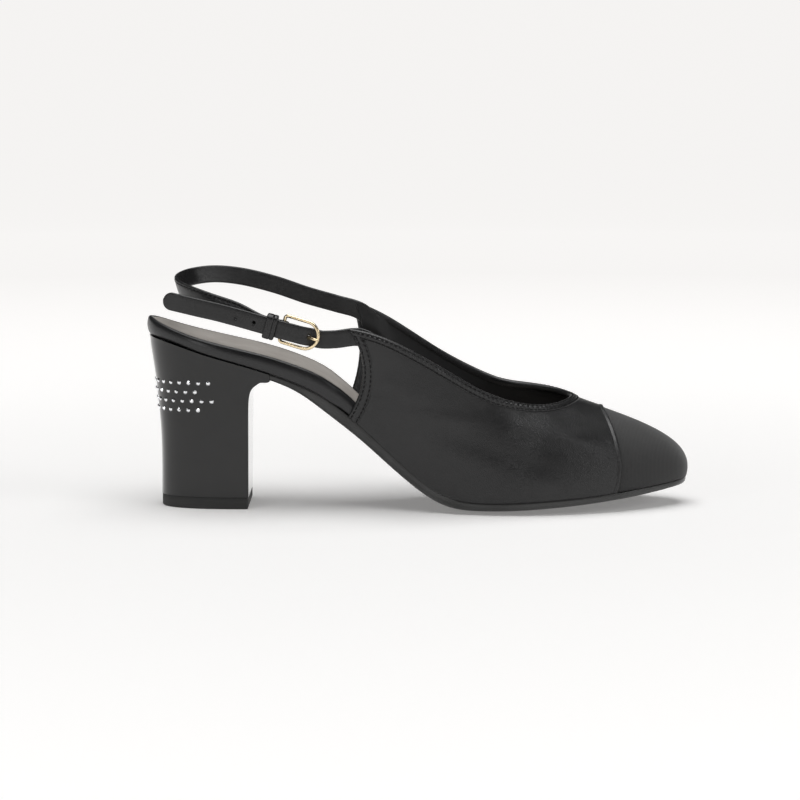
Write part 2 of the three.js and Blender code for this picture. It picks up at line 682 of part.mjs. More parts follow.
function makeTopPiece() {
  const ring = (z, inset) => {
    const breast = heelBreast - inset;
    return heelRing(z, heelSetBack + inset, breast, breast, heelTipWidth / 2 - inset, heelSquareness);
  };
  const chamfer = 0.4;
  return loft([
    ring(0, topPieceInset + chamfer),
    ring(chamfer, topPieceInset),
    ring(topPieceHeight - chamfer / 2, topPieceInset),
    ring(topPieceHeight, topPieceInset + chamfer / 2),
  ]);
}

// The upper's surface: rib number i, and t from the sole's seam to the topline.
const ribColumn = (name, scale) => smoothColumn(ribs, name, scale);
const ribFoot = ribColumn('foot', 1);
const ribTopX = ribColumn('x', length);
const ribTopY = ribColumn('y', halfTread);
const ribTopZ = ribColumn('z', collarHeight);
const ribBelly = ribColumn('belly', wallBelly);
const ribLift = ribColumn('lift', 1);
const ribReach = ribColumn('reach', 1);
const ribDrop = ribColumn('drop', 1);
const ribSweep = ribColumn('sweep', cutSweep);
const lastRib = ribs.length - 1;

function ribHandles(i) {
  const k = ribFoot(i);
  const base = outline(k);
  const out = outward(k);
  const foot = new THREE.Vector3(base.x, base.y, seamLine(base.x));
  const top = new THREE.Vector3(ribTopX(i), ribTopY(i), ribTopZ(i));
  const height = top.z - foot.z;
  const low = foot.clone();
  low.x += out.x * ribBelly(i) + ribSweep(i);
  low.y += out.y * ribBelly(i);
  low.z += ribLift(i) * height;
  const high = top.clone();
  high.x += ribReach(i) * (foot.x - top.x) + ribSweep(i);
  high.y += ribReach(i) * (foot.y - top.y);
  high.z -= ribDrop(i) * height;
  return [foot, low, high, top];
}

function skinPoint(i, t) {
  const [foot, low, high, top] = ribHandles(i);
  const s = 1 - t;
  return foot
    .multiplyScalar(s ** 3)
    .addScaledVector(low, 3 * s * s * t)
    .addScaledVector(high, 3 * s * t * t)
    .addScaledVector(top, t ** 3);
}

function skinNormal(i, t) {
  const step = 0.01;
  const along = skinPoint(i + step, t).sub(skinPoint(i - step, t));
  const up = skinPoint(i, t + step).sub(skinPoint(i, t - step));
  return along.cross(up).normalize();
}

// A point at some depth under the skin; a negative depth lies outside it.
const skinLayer = (i, t, depth) => skinPoint(i, t).addScaledVector(skinNormal(i, t), -depth);

// The share t that lies some millimetres below the topline, and the rib that lies some
// millimetres inside a rear cut.
const belowTop = (i, distance) => {
  const [, , high, top] = ribHandles(i);
  return 1 - distance / (3 * high.distanceTo(top));
};
const ribPitch = (i) => skinPoint(i + 0.5, 0.6).distanceTo(skinPoint(i - 0.5, 0.6));
const nearCutRib = (distance) => distance / ribPitch(0.5);
const farCutRib = (distance) => lastRib - distance / ribPitch(lastRib - 0.5);

function makeUpper() {
  const columns = 58;
  const rows = 9;
  const innerBand = cutBandWidth + bandSlope;
  const ribsAt = [0, nearCutRib(cutBandWidth)];
  for (let c = 0; c <= columns; c++) {
    ribsAt.push(mix(nearCutRib(innerBand), farCutRib(innerBand), c / columns));
  }
  ribsAt.push(farCutRib(cutBandWidth), lastRib);
  const outer = [];
  const inner = [];
  ribsAt.forEach((i, c) => {
    const onCutBand = c < 2 || c > ribsAt.length - 3;
    const shares = [];
    for (let r = 0; r <= rows; r++) {
      shares.push((belowTop(i, bandWidth + bandSlope) * r) / rows);
    }
    shares.push(belowTop(i, bandWidth), 1);
    outer.push(shares.map((t, r) => skinLayer(i, t, onCutBand || r > rows ? -bandProud : 0)));
    inner.push(shares.map((t) => skinLayer(i, t, wallDepth(skinPoint(i, t).x))));
  });
  const shell = solidOf(sheet(outer, inner));
  const capRoom = capSpace(clearance, -overcut, capDrop + capThickness + clearance, -capOpen);
  return geometryOf(shell.subtract(capRoom));
}

// The toe cap's room: the skin between two depths, in front of the seam. It spans the ribs
// that the seam crosses, and ends below the throat.
const seamX = (z) => capSeam - capBow * ((z - capBowHeight) / capBowHeight) ** 2;
const capRibs = [lastRib * 0.23, lastRib * 0.77];
const capHighest = 0.96;
const capOpen = 0.04; // how far below the sole's seam the room is cut, as a share of the rib
function capSpace(margin, outerDepth, innerDepth, lowest) {
  const columns = 30;
  const rows = 8;
  const outer = [];
  const inner = [];
  for (let c = 0; c <= columns; c++) {
    const i = mix(capRibs[0], capRibs[1], c / columns);
    const shares = [];
    for (let r = 0; r <= rows; r++) {
      shares.push(mix(lowest, capHighest, r / rows));
    }
    outer.push(shares.map((t) => skinLayer(i, t, outerDepth)));
    inner.push(shares.map((t) => skinLayer(i, t, innerDepth)));
  }
  const blade = [];
  const far = length + treadWidth;
  for (let z = -capBowHeight; z <= 3 * capBowHeight; z += capBowHeight / 4) {
    const x = seamX(z) - margin;
    blade.push([
      new THREE.Vector3(x, -treadWidth, z),
      new THREE.Vector3(x, treadWidth, z),
      new THREE.Vector3(far, treadWidth, z),
      new THREE.Vector3(far, -treadWidth, z),
    ]);
  }
  return solidOf(sheet(outer, inner)).intersect(solidOf(loft(blade)));
}

const makeToeCap = () => geometryOf(capSpace(0, capDrop, capDrop + capThickness, 0));

// The buckle's own directions: along the strap to the toe, up across it, and outward.
const fall = radians(strapFall);
const bar = new THREE.Vector3(barX, barY, barZ);
const alongStrap = new THREE.Vector3(Math.cos(fall), 0, -Math.sin(fall));
const upStrap = new THREE.Vector3(Math.sin(fall), 0, Math.cos(fall));
const outStrap = new THREE.Vector3(0, -1, 0);
const atBuckle = (along, up, out) =>
  bar
    .clone()
    .addScaledVector(alongStrap, along)
    .addScaledVector(upStrap, up)
    .addScaledVector(outStrap, out);

// The chape is the sling's end around the bar. The billet passes over it, and then under the
// buckle's arc, so the buckle tilts outward from its bar.
const boreRadius = wireRadius + clearance;
const chapeRadius = boreRadius + chapeLeather;
const billetOverBar = chapeRadius + clearance + strapThickness / 2;
const billetAtArc = 1.4; // billet's middle under the arc, out from the bar
const underArc = buckleLength * 0.8; // where the billet first passes under the arc
const buckleTilt = (billetAtArc + strapThickness / 2 + clearance + wireRadius) / underArc;
const arcOut = buckleTilt * buckleLength;
const prongTip = arcOut + wireRadius + clearance + prongRadius;
const prongThrough = 0.725; // where the prong comes through the billet, as a share of the buckle

// A strap: a band with rounded edges along a smooth line, with a lean at each point.
function band(points, leans, width, thickness, steps, tipRound) {
  const curve = new THREE.CatmullRomCurve3(points, false, 'centripetal');
  const lean = smoothLine(leans.map((_, i) => i / (leans.length - 1)), leans);
  const total = curve.getLength();
  const rings = [];
  const tipSteps = tipRound ? 7 : 0;
  const shares = [];
  for (let i = 0; i <= steps; i++) {
    shares.push((i / steps) * (tipRound ? 1 - width / 2 / total : 1));
  }
  for (let i = 1; i <= tipSteps; i++) {
    shares.push(1 - (width / 2 / total) * (1 - Math.sin((Math.PI / 2) * (i / tipSteps))));
  }
  shares.forEach((share) => {
    const centre = curve.getPointAt(Math.min(share, 1));
    const along = curve.getTangentAt(Math.min(share, 1));
    const flat = new THREE.Vector3(along.y, -along.x, 0).normalize();
    const up = flat.clone().cross(along).normalize();
    if (up.z < 0) {
      up.negate();
    }
    const angle = radians(lean(share));
    const across = up.clone().multiplyScalar(Math.cos(angle)).addScaledVector(flat, Math.sin(angle));
    const through = along.clone().cross(across).normalize();
    const left = tipRound ? (1 - share) * total : width;
    const inTip = Math.min(left / (width / 2), 1);
    const half = (width / 2) * Math.max(Math.sqrt(1 - (1 - inTip) ** 2), 0.12);
    const thin = thickness / 2;
    const cut = Math.min(strapEdge, half / 2);
    const corners = [
      [half, thin - cut],
      [half, -thin + cut],
      [half - cut, -thin],
      [-half + cut, -thin],
      [-half, -thin + cut],
      [-half, thin - cut],
      [-half + cut, thin],
      [half - cut, thin],
    ];
    rings.push(
      corners.map(([a, b]) => centre.clone().addScaledVector(across, a).addScaledVector(through, b)),
    );
  });
  return loft(rings);
}

// A place behind the upper's wall, where a strap's root is stitched in.
const behindWall = (i, t) => skinLayer(i, t, wall + clearance + rootSink + strapThickness / 2);

// A round rod or bore across the strap at the buckle.
function acrossRod(radius, from, to, along, out, sides) {
  const ring = (up) => {
    const points = [];
    for (let i = 0; i < sides; i++) {
      const turn = (2 * Math.PI * i) / sides;
      points.push(atBuckle(along + radius * Math.cos(turn), up, out + radius * Math.sin(turn)));
    }
    return points;
  };
  return loft([ring(from), ring(to)]);
}

// A block in the buckle's own directions.
function buckleBlock(along, up, out) {
  const ring = (a) => [
    atBuckle(a, up[0], out[0]),
    atBuckle(a, up[1], out[0]),
    atBuckle(a, up[1], out[1]),
    atBuckle(a, up[0], out[1]),
  ];
  return loft([ring(along[0]), ring(along[1])]);
}

function makeSlingStrap() {
  const route = slingRoute.map(
    (row) => new THREE.Vector3(row.x * length, row.y * halfTread, row.z * strapHeight),
  );
  const rootRib = lastRib - 0.5;
  const rootLow = belowTop(rootRib, strapWidth * 0.75 + bandWidth * 0.4);
  const cornerRib = lastRib - 0.12;
  const cornerLow = belowTop(cornerRib, strapWidth * 0.55);
  const points = [
    behindWall(rootRib, rootLow),
    behindWall(cornerRib, cornerLow),
    ...route,
    atBuckle(-chapeLead, 0, 0),
    atBuckle(-chapeRadius * 0.6, 0, 0),
  ];
  const leans = [0, 0, ...slingRoute.map((row) => row.lean), 0, 0];
  const strap = solidOf(band(points, leans, strapWidth, strapThickness, 44, false));
  const half = strapWidth / 2;
  const barrel = solidOf(acrossRod(chapeRadius, -half, half, 0, 0, 12));
  const bore = solidOf(acrossRod(boreRadius, -strapWidth, strapWidth, 0, 0, 12));
  const slot = solidOf(
    buckleBlock(
      [-chapeRadius - overcut / 2, chapeRadius + overcut],
      [-prongSlot / 2, prongSlot / 2],
      [-chapeRadius - overcut, chapeRadius + overcut],
    ),
  );
  return geometryOf(strap.add(barrel).subtract(bore).subtract(slot));
}

// The prong: an eye around the bar, and a shank to its tip on the arc.
const prongEye = boreRadius + 2 * prongRadius * 0.75;
function rodThrough(points, radii, sides) {
  const rings = points.map((point, i) => {
    const before = points[Math.max(i - 1, 0)];
    const after = points[Math.min(i + 1, points.length - 1)];
    const along = after.clone().sub(before).normalize();
    const up = upStrap.clone();
    const aside = along.clone().cross(up).normalize();
    const ring = [];
    for (let s = 0; s < sides; s++) {
      const turn = (2 * Math.PI * s) / sides;
      ring.push(
        point
          .clone()
          .addScaledVector(up, radii[i] * Math.cos(turn))
          .addScaledVector(aside, radii[i] * Math.sin(turn)),
      );
    }
    return ring;
  });
  return loft(rings);
}
const prongRod = (extra) =>
  solidOf(
    rodThrough(
      prongRun.map((row) => atBuckle(row.along * buckleLength, 0, row.out * prongTip)),
      prongRun.map((row) => prongRadius * row.girth + extra),
      8,
    ),
  );
function makeProng() {
  const half = prongSlot / 2 - clearance;
  const eye = solidOf(acrossRod(prongEye, -half, half, 0, 0, 14));
  const bore = solidOf(acrossRod(boreRadius, -prongSlot, prongSlot, 0, 0, 12));
  return geometryOf(prongRod(0).add(eye).subtract(bore));
}

function makeBuckleFrame() {
  const half = buckleHeight / 2;
  const straight = buckleLength - half;
  const corner = 1.2;
  const middle = [];
  const arcSteps = 14;
  for (let i = 0; i <= arcSteps; i++) {
    const turn = mix(-Math.PI / 2, Math.PI / 2, i / arcSteps);
    middle.push([straight + half * Math.cos(turn), half * Math.sin(turn)]);
  }
  for (const end of [1, -1]) {
    for (let i = 0; i <= 3; i++) {
      const turn = (Math.PI / 2) * (i / 3);
      const aside = end > 0 ? Math.sin(turn) : Math.cos(turn);
      const ahead = end > 0 ? Math.cos(turn) : Math.sin(turn);
      middle.push([corner - corner * aside, end * (half - corner + corner * ahead)]);
    }
  }
  const sides = 8;
  const count = middle.length;
  const out = outStrap.clone().addScaledVector(alongStrap, -buckleTilt).normalize();
  const rings = middle.map(([along, up], i) => {
    const place = (pair) => atBuckle(pair[0], pair[1] + buckleRaise, pair[0] * buckleTilt);
    const ahead = place(middle[(i + 1) % count]).sub(place(middle[(i + count - 1) % count]));
    const aside = ahead.normalize().cross(out).normalize();
    const centre = place([along, up]);
    const ring = [];
    for (let s = 0; s < sides; s++) {
      const turn = (2 * Math.PI * s) / sides;
      ring.push(
        centre
          .clone()
          .addScaledVector(aside, wireRadius * Math.cos(turn))
          .addScaledVector(out, wireRadius * Math.sin(turn)),
      );
    }
    return ring;
  });
  return loopLoft(rings);
}

function makeBilletStrap() {
  const rootRib = 0.5;
  const cornerRib = 0.12;
  const points = [
    behindWall(rootRib, belowTop(rootRib, strapWidth * 0.62)),
    behindWall(cornerRib, belowTop(cornerRib, strapWidth * 0.52)),
    ...billetRun.map((row) => {
      const out = mix(billetAtArc, billetOverBar, row.lift);
      return atBuckle(row.along * buckleLength, row.up * strapWidth, out);
    }),
    atBuckle(-chapeRadius - keeperWidth / 2, 0, mix(billetOverBar, freeEnd[0].out * strapWidth, 0.5)),
    ...freeEnd.map((row) =>
      atBuckle(row.along * freeLength, row.up * strapWidth, row.out * strapWidth),
    ),
  ];
  let strap = solidOf(band(points, points.map(() => 0), strapWidth, strapThickness, 40, true));
  strap = strap.subtract(prongRod(clearance));
  const prongHole = prongThrough * buckleLength;
  for (let h = 1; h <= freeHoles; h++) {
    const along = prongHole - h * holePitch;
    const ring = (out) => {
      const circle = [];
      for (let s = 0; s < 8; s++) {
        const turn = (2 * Math.PI * s) / 8;
        circle.push(atBuckle(along + holeRadius * Math.cos(turn), holeRadius * Math.sin(turn), out));
      }
      return circle;
    };
    const around = billetOverBar + strapThickness;
    strap = strap.subtract(solidOf(loft([ring(-strapThickness), ring(around)])));
  }
  return geometryOf(strap);
}

// The keeper loops around both straps, beside the chape.
function makeKeeper() {
  const near = -chapeRadius - clearance;
  const inside = {
    up: strapWidth / 2 + clearance + keeperSlack,
    low: -strapThickness / 2 - clearance,
    high: billetOverBar + strapThickness / 2 + clearance,
  };
  const span = [near - keeperWidth, near];
  const outerBlock = buckleBlock(
    span,
    [-inside.up - keeperThickness, inside.up + keeperThickness],
    [inside.low - keeperThickness, inside.high + keeperThickness],
  );
  const room = buckleBlock(
    [span[0] - overcut, span[1] + overcut],
    [-inside.up, inside.up],
    [inside.low, inside.high],
  );
  return geometryOf(solidOf(outerBlock).subtract(solidOf(room)));
}

const finish = (color, roughness, metalness) =>
  new THREE.MeshStandardMaterial({ color, roughness, metalness });
const nappa = finish(0x1a1a1b, 0.45, 0);
const pieces = [
  ['outsole', makeOutsole(), finish(0x171717, 0.4, 0)],
  ['footbed', makeFootbed(), nappa],
  ['sock_lining', makeSockLining(), finish(0x96918d, 0.7, 0)],
  ['heel', makeHeel(), finish(0x0b0b0c, 0.12, 0)],
  ['top_piece', makeTopPiece(), finish(0x191918, 0.7, 0)],
  ['upper', makeUpper(), nappa],
  ['toe_cap', makeToeCap(), finish(0x232323, 0.85, 0)],
  ['sling_strap', makeSlingStrap(), nappa],
  ['billet_strap', makeBilletStrap(), nappa],
  ['buckle_frame', makeBuckleFrame(), finish(0xd8c39a, 0.25, 1)],
  ['buckle_prong', makeProng(), finish(0xd8c39a, 0.25, 1)],
  ['keeper', makeKeeper(), nappa],
];

// The shoe stands over the middle of the space that it takes up.
const shoe = new THREE.Group();
shoe.name = 'slingback_pump';
for (const [name, geometry, material] of pieces) {
  const mesh = new THREE.Mesh(geometry, material);
  mesh.name = name;
  shoe.add(mesh);
}
const box = new THREE.Box3().setFromObject(shoe);
const middle = box.getCenter(new THREE.Vector3());
shoe.position.set(-middle.x, -middle.y, -box.min.z);

export default shoe;
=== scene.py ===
# %% [markdown]
# # A slingback pump
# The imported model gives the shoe's size and place. Every piece here is drawn again over its
# solid at a finer scale, from the same few sizes of the last, so that it stays where it was.
# The model's frame is in metres. A shoemaker works in millimetres from the back of the heel,
# so the sizes below are in those, and one function carries a finished piece into the frame.

# %% Load the frame
import math

import bmesh
import bpy
import numpy as np
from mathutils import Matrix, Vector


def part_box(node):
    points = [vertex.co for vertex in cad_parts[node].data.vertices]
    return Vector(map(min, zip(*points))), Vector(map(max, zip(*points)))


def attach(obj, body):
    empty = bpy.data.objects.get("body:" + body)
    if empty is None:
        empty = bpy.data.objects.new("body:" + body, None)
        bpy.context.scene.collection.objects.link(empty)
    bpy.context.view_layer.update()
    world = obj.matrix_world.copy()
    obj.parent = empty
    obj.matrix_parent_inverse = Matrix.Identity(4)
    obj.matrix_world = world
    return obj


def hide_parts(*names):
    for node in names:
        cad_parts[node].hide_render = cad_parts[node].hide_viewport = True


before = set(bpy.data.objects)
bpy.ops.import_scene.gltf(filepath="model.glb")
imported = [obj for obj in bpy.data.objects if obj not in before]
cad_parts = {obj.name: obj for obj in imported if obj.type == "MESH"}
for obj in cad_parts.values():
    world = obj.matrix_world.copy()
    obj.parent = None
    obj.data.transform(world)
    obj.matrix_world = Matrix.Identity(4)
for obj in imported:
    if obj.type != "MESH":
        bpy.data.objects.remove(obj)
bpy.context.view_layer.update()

millimetre = 0.001
heel_set_back = 5.5
heel_tip_length = 38.0
top_low, top_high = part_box("top_piece")
shift = np.array([
    (top_low.x + top_high.x) / 2 / millimetre - heel_set_back - heel_tip_length / 2,
    (top_low.y + top_high.y) / 2 / millimetre,
    top_low.z / millimetre,
])
print("the heel's back lies at", shift.round(3), "mm from the frame's origin")


def to_frame(points):
    return (np.asarray(points, float) + shift) * millimetre


# %% [markdown]
# ## Where the camera stands
# The picture was taken from the outer side, a little above the shoe, with a long lens. Its
# distance sets how strongly near and far parts differ in size, and its height how much of the
# sock shows. Both are real lengths here, and the lens then follows from the picture's scale.

# %% Camera
camera_distance = 1170.0
camera_height = 185.0
camera_along = 107.7
camera_dip = 6.85
lens = bpy.data.cameras.new("camera")
lens.sensor_width = 36.0
lens.lens = 123.75
camera = bpy.data.objects.new("camera", lens)
camera.location = to_frame([camera_along, -camera_distance, camera_height])
camera.rotation_euler = (math.radians(90 - camera_dip), 0, 0)
bpy.context.scene.collection.objects.link(camera)
bpy.context.scene.camera = camera
bpy.context.scene.view_settings.view_transform = "Standard"
print("camera", tuple(round(v, 3) for v in camera.location))

# %% [markdown]
# ## Values that flow through a finish
# A finish is a tree of nodes, and most of its nodes are sums. One small class stands for what
# comes out of a socket and takes Python's own operators, so a sum is written as a sum. One
# method makes every other kind of node: its settings first, then what goes into its sockets.

# %% Flow and Finish
class Flow:
    """What comes out of one socket of a finish."""

    def __init__(self, finish, socket):
        self.finish = finish
        self.socket = socket

    def sum(self, operation, first, second=0.0):
        return self.finish.add("ShaderNodeMath", {"operation": operation}, {0: first, 1: second})

    def __add__(self, other):
        return self.sum("ADD", self, other)

    def __radd__(self, other):
        return self.sum("ADD", other, self)

    def __sub__(self, other):
        return self.sum("SUBTRACT", self, other)

    def __rsub__(self, other):
        return self.sum("SUBTRACT", other, self)

    def __mul__(self, other):
        return self.sum("MULTIPLY", self, other)

    def __rmul__(self, other):
        return self.sum("MULTIPLY", other, self)

    def __truediv__(self, other):
        return self.sum("DIVIDE", self, other)

    def __pow__(self, other):
        return self.sum("POWER", self, other)

    def clamped(self, low=0.0, high=1.0):
        return self.finish.add("ShaderNodeClamp", {}, {"Value": self, "Min": low, "Max": high})

    def between(self, low, high):
        """0 below low, 1 above high, and an even rise from one to the other."""
        return ((self - low) / (high - low)).clamped()


class Finish:
    """A material with one shader. Plain numbers go straight to the shader's own sockets."""

    def __init__(self, name, **sockets):
        self.material = bpy.data.materials.new(name)
        self.material.use_nodes = True
        self.nodes = self.material.node_tree.nodes
        self.links = self.material.node_tree.links
        self.nodes.clear()
        self.shader = self.nodes.new("ShaderNodeBsdfPrincipled")
        output = self.nodes.new("ShaderNodeOutputMaterial")
        self.links.new(self.shader.outputs[0], output.inputs["Surface"])
        self.feed(**sockets)
        place = self.add("ShaderNodeTexCoord", {}, {}, "Object")
        self.place = place

    def set_socket(self, socket, value):
        if isinstance(value, Flow):
            self.links.new(value.socket, socket)
        elif isinstance(value, (tuple, list)) and len(value) == 3 and socket.type == "RGBA":
            socket.default_value = (*value, 1.0)
        else:
            socket.default_value = value

    def add(self, kind, settings, sockets, out=0):
        node = self.nodes.new(kind)
        for name, value in settings.items():
            setattr(node, name, value)
        for name, value in sockets.items():
            self.set_socket(node.inputs[name], value)
        return Flow(self, node.outputs[out])

    def feed(self, **sockets):
        for name, value in sockets.items():
            self.set_socket(self.shader.inputs[name.replace("_", " ")], value)

    def blend(self, share, low, high):
        """A colour between two colours."""
        settings = {"data_type": "RGBA"}
        return self.add("ShaderNodeMix", settings, {0: share, 6: low, 7: high}, 2)

    def stretched(self, scale):
        """The place on the piece, with each axis scaled by its own number."""
        return self.add("ShaderNodeVectorMath", {"operation": "MULTIPLY"}, {0: self.place, 1: scale})

    def cloud(self, size, detail=2.0, roughness=0.5, place=None):
        """Soft noise whose blots are about this many millimetres across."""
        sockets = {"Vector": place or self.place, "Scale": 1 / (size * millimetre)}
        sockets.update({"Detail": detail, "Roughness": roughness})
        return self.add("ShaderNodeTexNoise", {}, sockets)

    def pebbles(self, size, place=None, edges=False):
        """Cells about this many millimetres across: 0 in their middles, or on their edges."""
        feature = "DISTANCE_TO_EDGE" if edges else "F1"
        sockets = {"Vector": place or self.place, "Scale": 1 / (size * millimetre)}
        return self.add("ShaderNodeTexVoronoi", {"feature": feature}, sockets)

    def bump(self, height, depth, strength=1.0, below=None):
        """Relief of this many millimetres where height goes from 0 to 1."""
        sockets = {"Height": height, "Distance": depth * millimetre, "Strength": strength}
        if below is not None:
            sockets["Normal"] = below
        return self.add("ShaderNodeBump", {}, sockets)


# %% [markdown]
# ## Soft black leather
# The vamp is fine lambskin, dyed through and lightly finished. Its grain is a net of shallow
# furrows less than a millimetre apart, and it lies along the direction in which the skin was
# pulled over the last. Furrows as real geometry would cost millions of faces, so they are
# relief in the finish: cells squeezed along one axis lie over a finer noise, and both fade in
# and out with a broad one. The gloss changes with it too, because pulled skin is smoother.

# %% Leather finishes
def leather(name, colour, gloss, grain, size=0.62):
    """Black leather: gloss is its roughness, and grain the depth of its furrows."""
    finish = Finish(name, Specular_IOR_Level=0.5)
    skewed = finish.stretched((0.72, 1.0, 1.25))
    furrows = finish.pebbles(size, skewed, edges=True).between(0.0, 0.32)
    fine = finish.cloud(size * 0.42, 3.0, 0.6)
    broad = finish.cloud(26.0, 2.0)
    shown = broad.between(0.36, 0.6) * 0.6 + 0.4
    relief = (furrows * 0.75 + fine * 0.45) * shown
    wide = finish.cloud(7.0, 2.0)
    soft = finish.bump(wide, 0.16, 0.6)
    finish.feed(
        Base_Color=finish.blend(fine * 0.5 + broad * 0.5, tuple(c * 0.75 for c in colour), colour),
        Roughness=gloss + 0.14 * (fine - 0.5) + 0.12 * (broad - 0.5),
        Normal=finish.bump(relief, grain, 1.0, soft),
    )
    return finish.material


nappa = leather("nappa", (0.011, 0.011, 0.0115), 0.34, 0.085)
band_leather = leather("band_leather", (0.011, 0.011, 0.0115), 0.29, 0.06, 0.5)
strap_leather = leather("strap_leather", (0.010, 0.010, 0.0105), 0.29, 0.05, 0.45)
lining_leather = leather("lining_leather", (0.0035, 0.0035, 0.0038), 0.6, 0.03, 0.5)
rim_leather = leather("rim_leather", (0.016, 0.016, 0.017), 0.3, 0.02, 0.7)
print("leathers:", nappa.name, band_leather.name, strap_leather.name, lining_leather.name)

# %% [markdown]
# ## Ribbed cloth on the toe
# The cap is grosgrain: thick weft threads lie side by side under a fine warp, which gives it
# straight ribs about half a millimetre apart. A wave pattern along the shoe makes the ribs, a
# finer one up it makes the warp that ties them, and a noise loosens both. Cloth has no
# gloss, so its roughness is high and a little sheen stands for the loose fibres.

# %% Cap cloth
def ribbed_cloth(name, colour, pitch):
    finish = Finish(name, Sheen_Weight=0.25, Sheen_Roughness=0.5, Specular_IOR_Level=0.3)
    ribs = finish.add("ShaderNodeTexWave", {"bands_direction": "X"}, {
        "Vector": finish.place, "Scale": 0.314 / (pitch * millimetre), "Distortion": 0.35,
        "Detail": 2.0, "Detail Scale": 4.0,
    }, 1)
    warp = finish.add("ShaderNodeTexWave", {"bands_direction": "Z"}, {
        "Vector": finish.place, "Scale": 0.314 / (pitch * 0.45 * millimetre), "Distortion": 0.3,
    }, 1)
    fibres = finish.cloud(0.3, 3.0, 0.65)
    broad = finish.cloud(14.0, 2.0)
    relief = ribs * 0.6 + warp * 0.15 + fibres * 0.5
    light = tuple(c * 1.5 for c in colour)
    finish.feed(
        Base_Color=finish.blend(fibres * 0.7 + broad * 0.3, tuple(c * 0.7 for c in colour), light),
        Roughness=0.86 + 0.1 * (fibres - 0.5),
        Normal=finish.bump(relief, 0.07),
    )
    return finish.material


cap_cloth = ribbed_cloth("cap_cloth", (0.024, 0.024, 0.024), 0.6)
print("cloth:", cap_cloth.name)

# %% [markdown]
# ## Patent, rubber, sole, sock, thread and metal
# Patent leather is a thick clear coat over black: almost a mirror, with a very slight wave
# where the coat settled. Rubber is dull and finely pitted. The sole is dyed leather with a
# waxed edge. The sock is warm grey and slightly marbled. Each is a short recipe of its own.

# %% Other finishes
def patent(name):
    finish = Finish(name, Coat_Roughness=0.03, Coat_IOR=1.45, Specular_IOR_Level=0.12)
    settle = finish.cloud(9.0, 2.0)
    specks = finish.cloud(0.8, 2.0)
    finish.feed(
        Base_Color=finish.blend(settle, (0.006, 0.006, 0.006), (0.009, 0.009, 0.009)),
        Roughness=0.1 + 0.05 * settle,
        Coat_Weight=0.9 + 0.1 * settle,
        Normal=finish.bump(settle + specks * 0.05, 0.03),
    )
    return finish.material


def rubber(name):
    finish = Finish(name, Specular_IOR_Level=0.4)
    pits = finish.cloud(0.35, 3.0, 0.7)
    scuffs = finish.cloud(6.0, 4.0, 0.65, finish.stretched((0.25, 1.0, 1.0)))
    finish.feed(
        Base_Color=finish.blend(scuffs.between(0.35, 0.7), (0.022, 0.022, 0.022), (0.032, 0.032, 0.031)),
        Roughness=0.55 + 0.15 * scuffs,
        Normal=finish.bump(pits, 0.03),
    )
    return finish.material


def waxed_sole(name):
    finish = Finish(name, Coat_Roughness=0.12)
    fibres = finish.cloud(1.4, 4.0, 0.6, finish.stretched((0.3, 1.0, 1.0)))
    rub = finish.cloud(20.0, 3.0)
    finish.feed(
        Base_Color=finish.blend(fibres, (0.008, 0.008, 0.008), (0.016, 0.016, 0.015)),
        Roughness=0.28 + 0.2 * rub,
        Coat_Weight=0.5 * rub.between(0.3, 0.6),
        Normal=finish.bump(fibres, 0.03),
    )
    return finish.material


def sock_leather(name):
    finish = Finish(name, Specular_IOR_Level=0.35)
    grain = finish.pebbles(0.5, edges=True).between(0.0, 0.3)
    marble = finish.cloud(12.0, 4.0, 0.6)
    finish.feed(
        Base_Color=finish.blend(marble.between(0.3, 0.7), (0.30, 0.275, 0.25), (0.37, 0.345, 0.32)),
        Roughness=0.55 + 0.12 * marble,
        Normal=finish.bump(grain, 0.025),
    )
    return finish.material


def thread(name):
    finish = Finish(name, Specular_IOR_Level=0.25)
    twist = finish.cloud(0.25, 2.0, 0.6)
    finish.feed(
        Base_Color=finish.blend(twist, (0.002, 0.002, 0.002), (0.007, 0.007, 0.007)),
        Roughness=0.6 + 0.2 * twist,
        Normal=finish.bump(twist, 0.03),
    )
    return finish.material


def gold(name):
    finish = Finish(name, Metallic=1.0)
    polish = finish.cloud(2.5, 2.0)
    wear = finish.cloud(5.0, 2.0)
    finish.feed(
        Base_Color=finish.blend(wear, (0.78, 0.62, 0.38), (0.90, 0.76, 0.52)),
        Roughness=0.2 + 0.1 * polish,
    )
    return finish.material


def crystal(name):
    finish = Finish(name, Metallic=1.0)
    tint = finish.cloud(1.1, 1.0)
    finish.feed(
        Base_Color=finish.blend(tint, (0.80, 0.82, 0.86), (1.0, 1.0, 1.0)),
        Roughness=0.04 + 0.05 * tint,
    )
    return finish.material


patent_cover = patent("patent_cover")
heel_rubber = rubber("heel_rubber")
sole_leather = waxed_sole("sole_leather")
sock_grey = sock_leather("sock_leather")
black_thread = thread("black_thread")
pale_gold = gold("pale_gold")
cut_crystal = crystal("cut_crystal")
print("finishes made:", len(bpy.data.materials))

# %% [markdown]
# ## Drawing with rows of points
# Leather over a last has no corner that a box or a tube could stand for, so each piece is
# drawn as rows of points and skinned with faces. A shell collects points and strips, and then
# becomes one closed mesh: corners that meet are merged, empty faces go, and all faces are
# turned outward. Edges sharper than a set angle stay crisp, and the rest is shaded smooth.

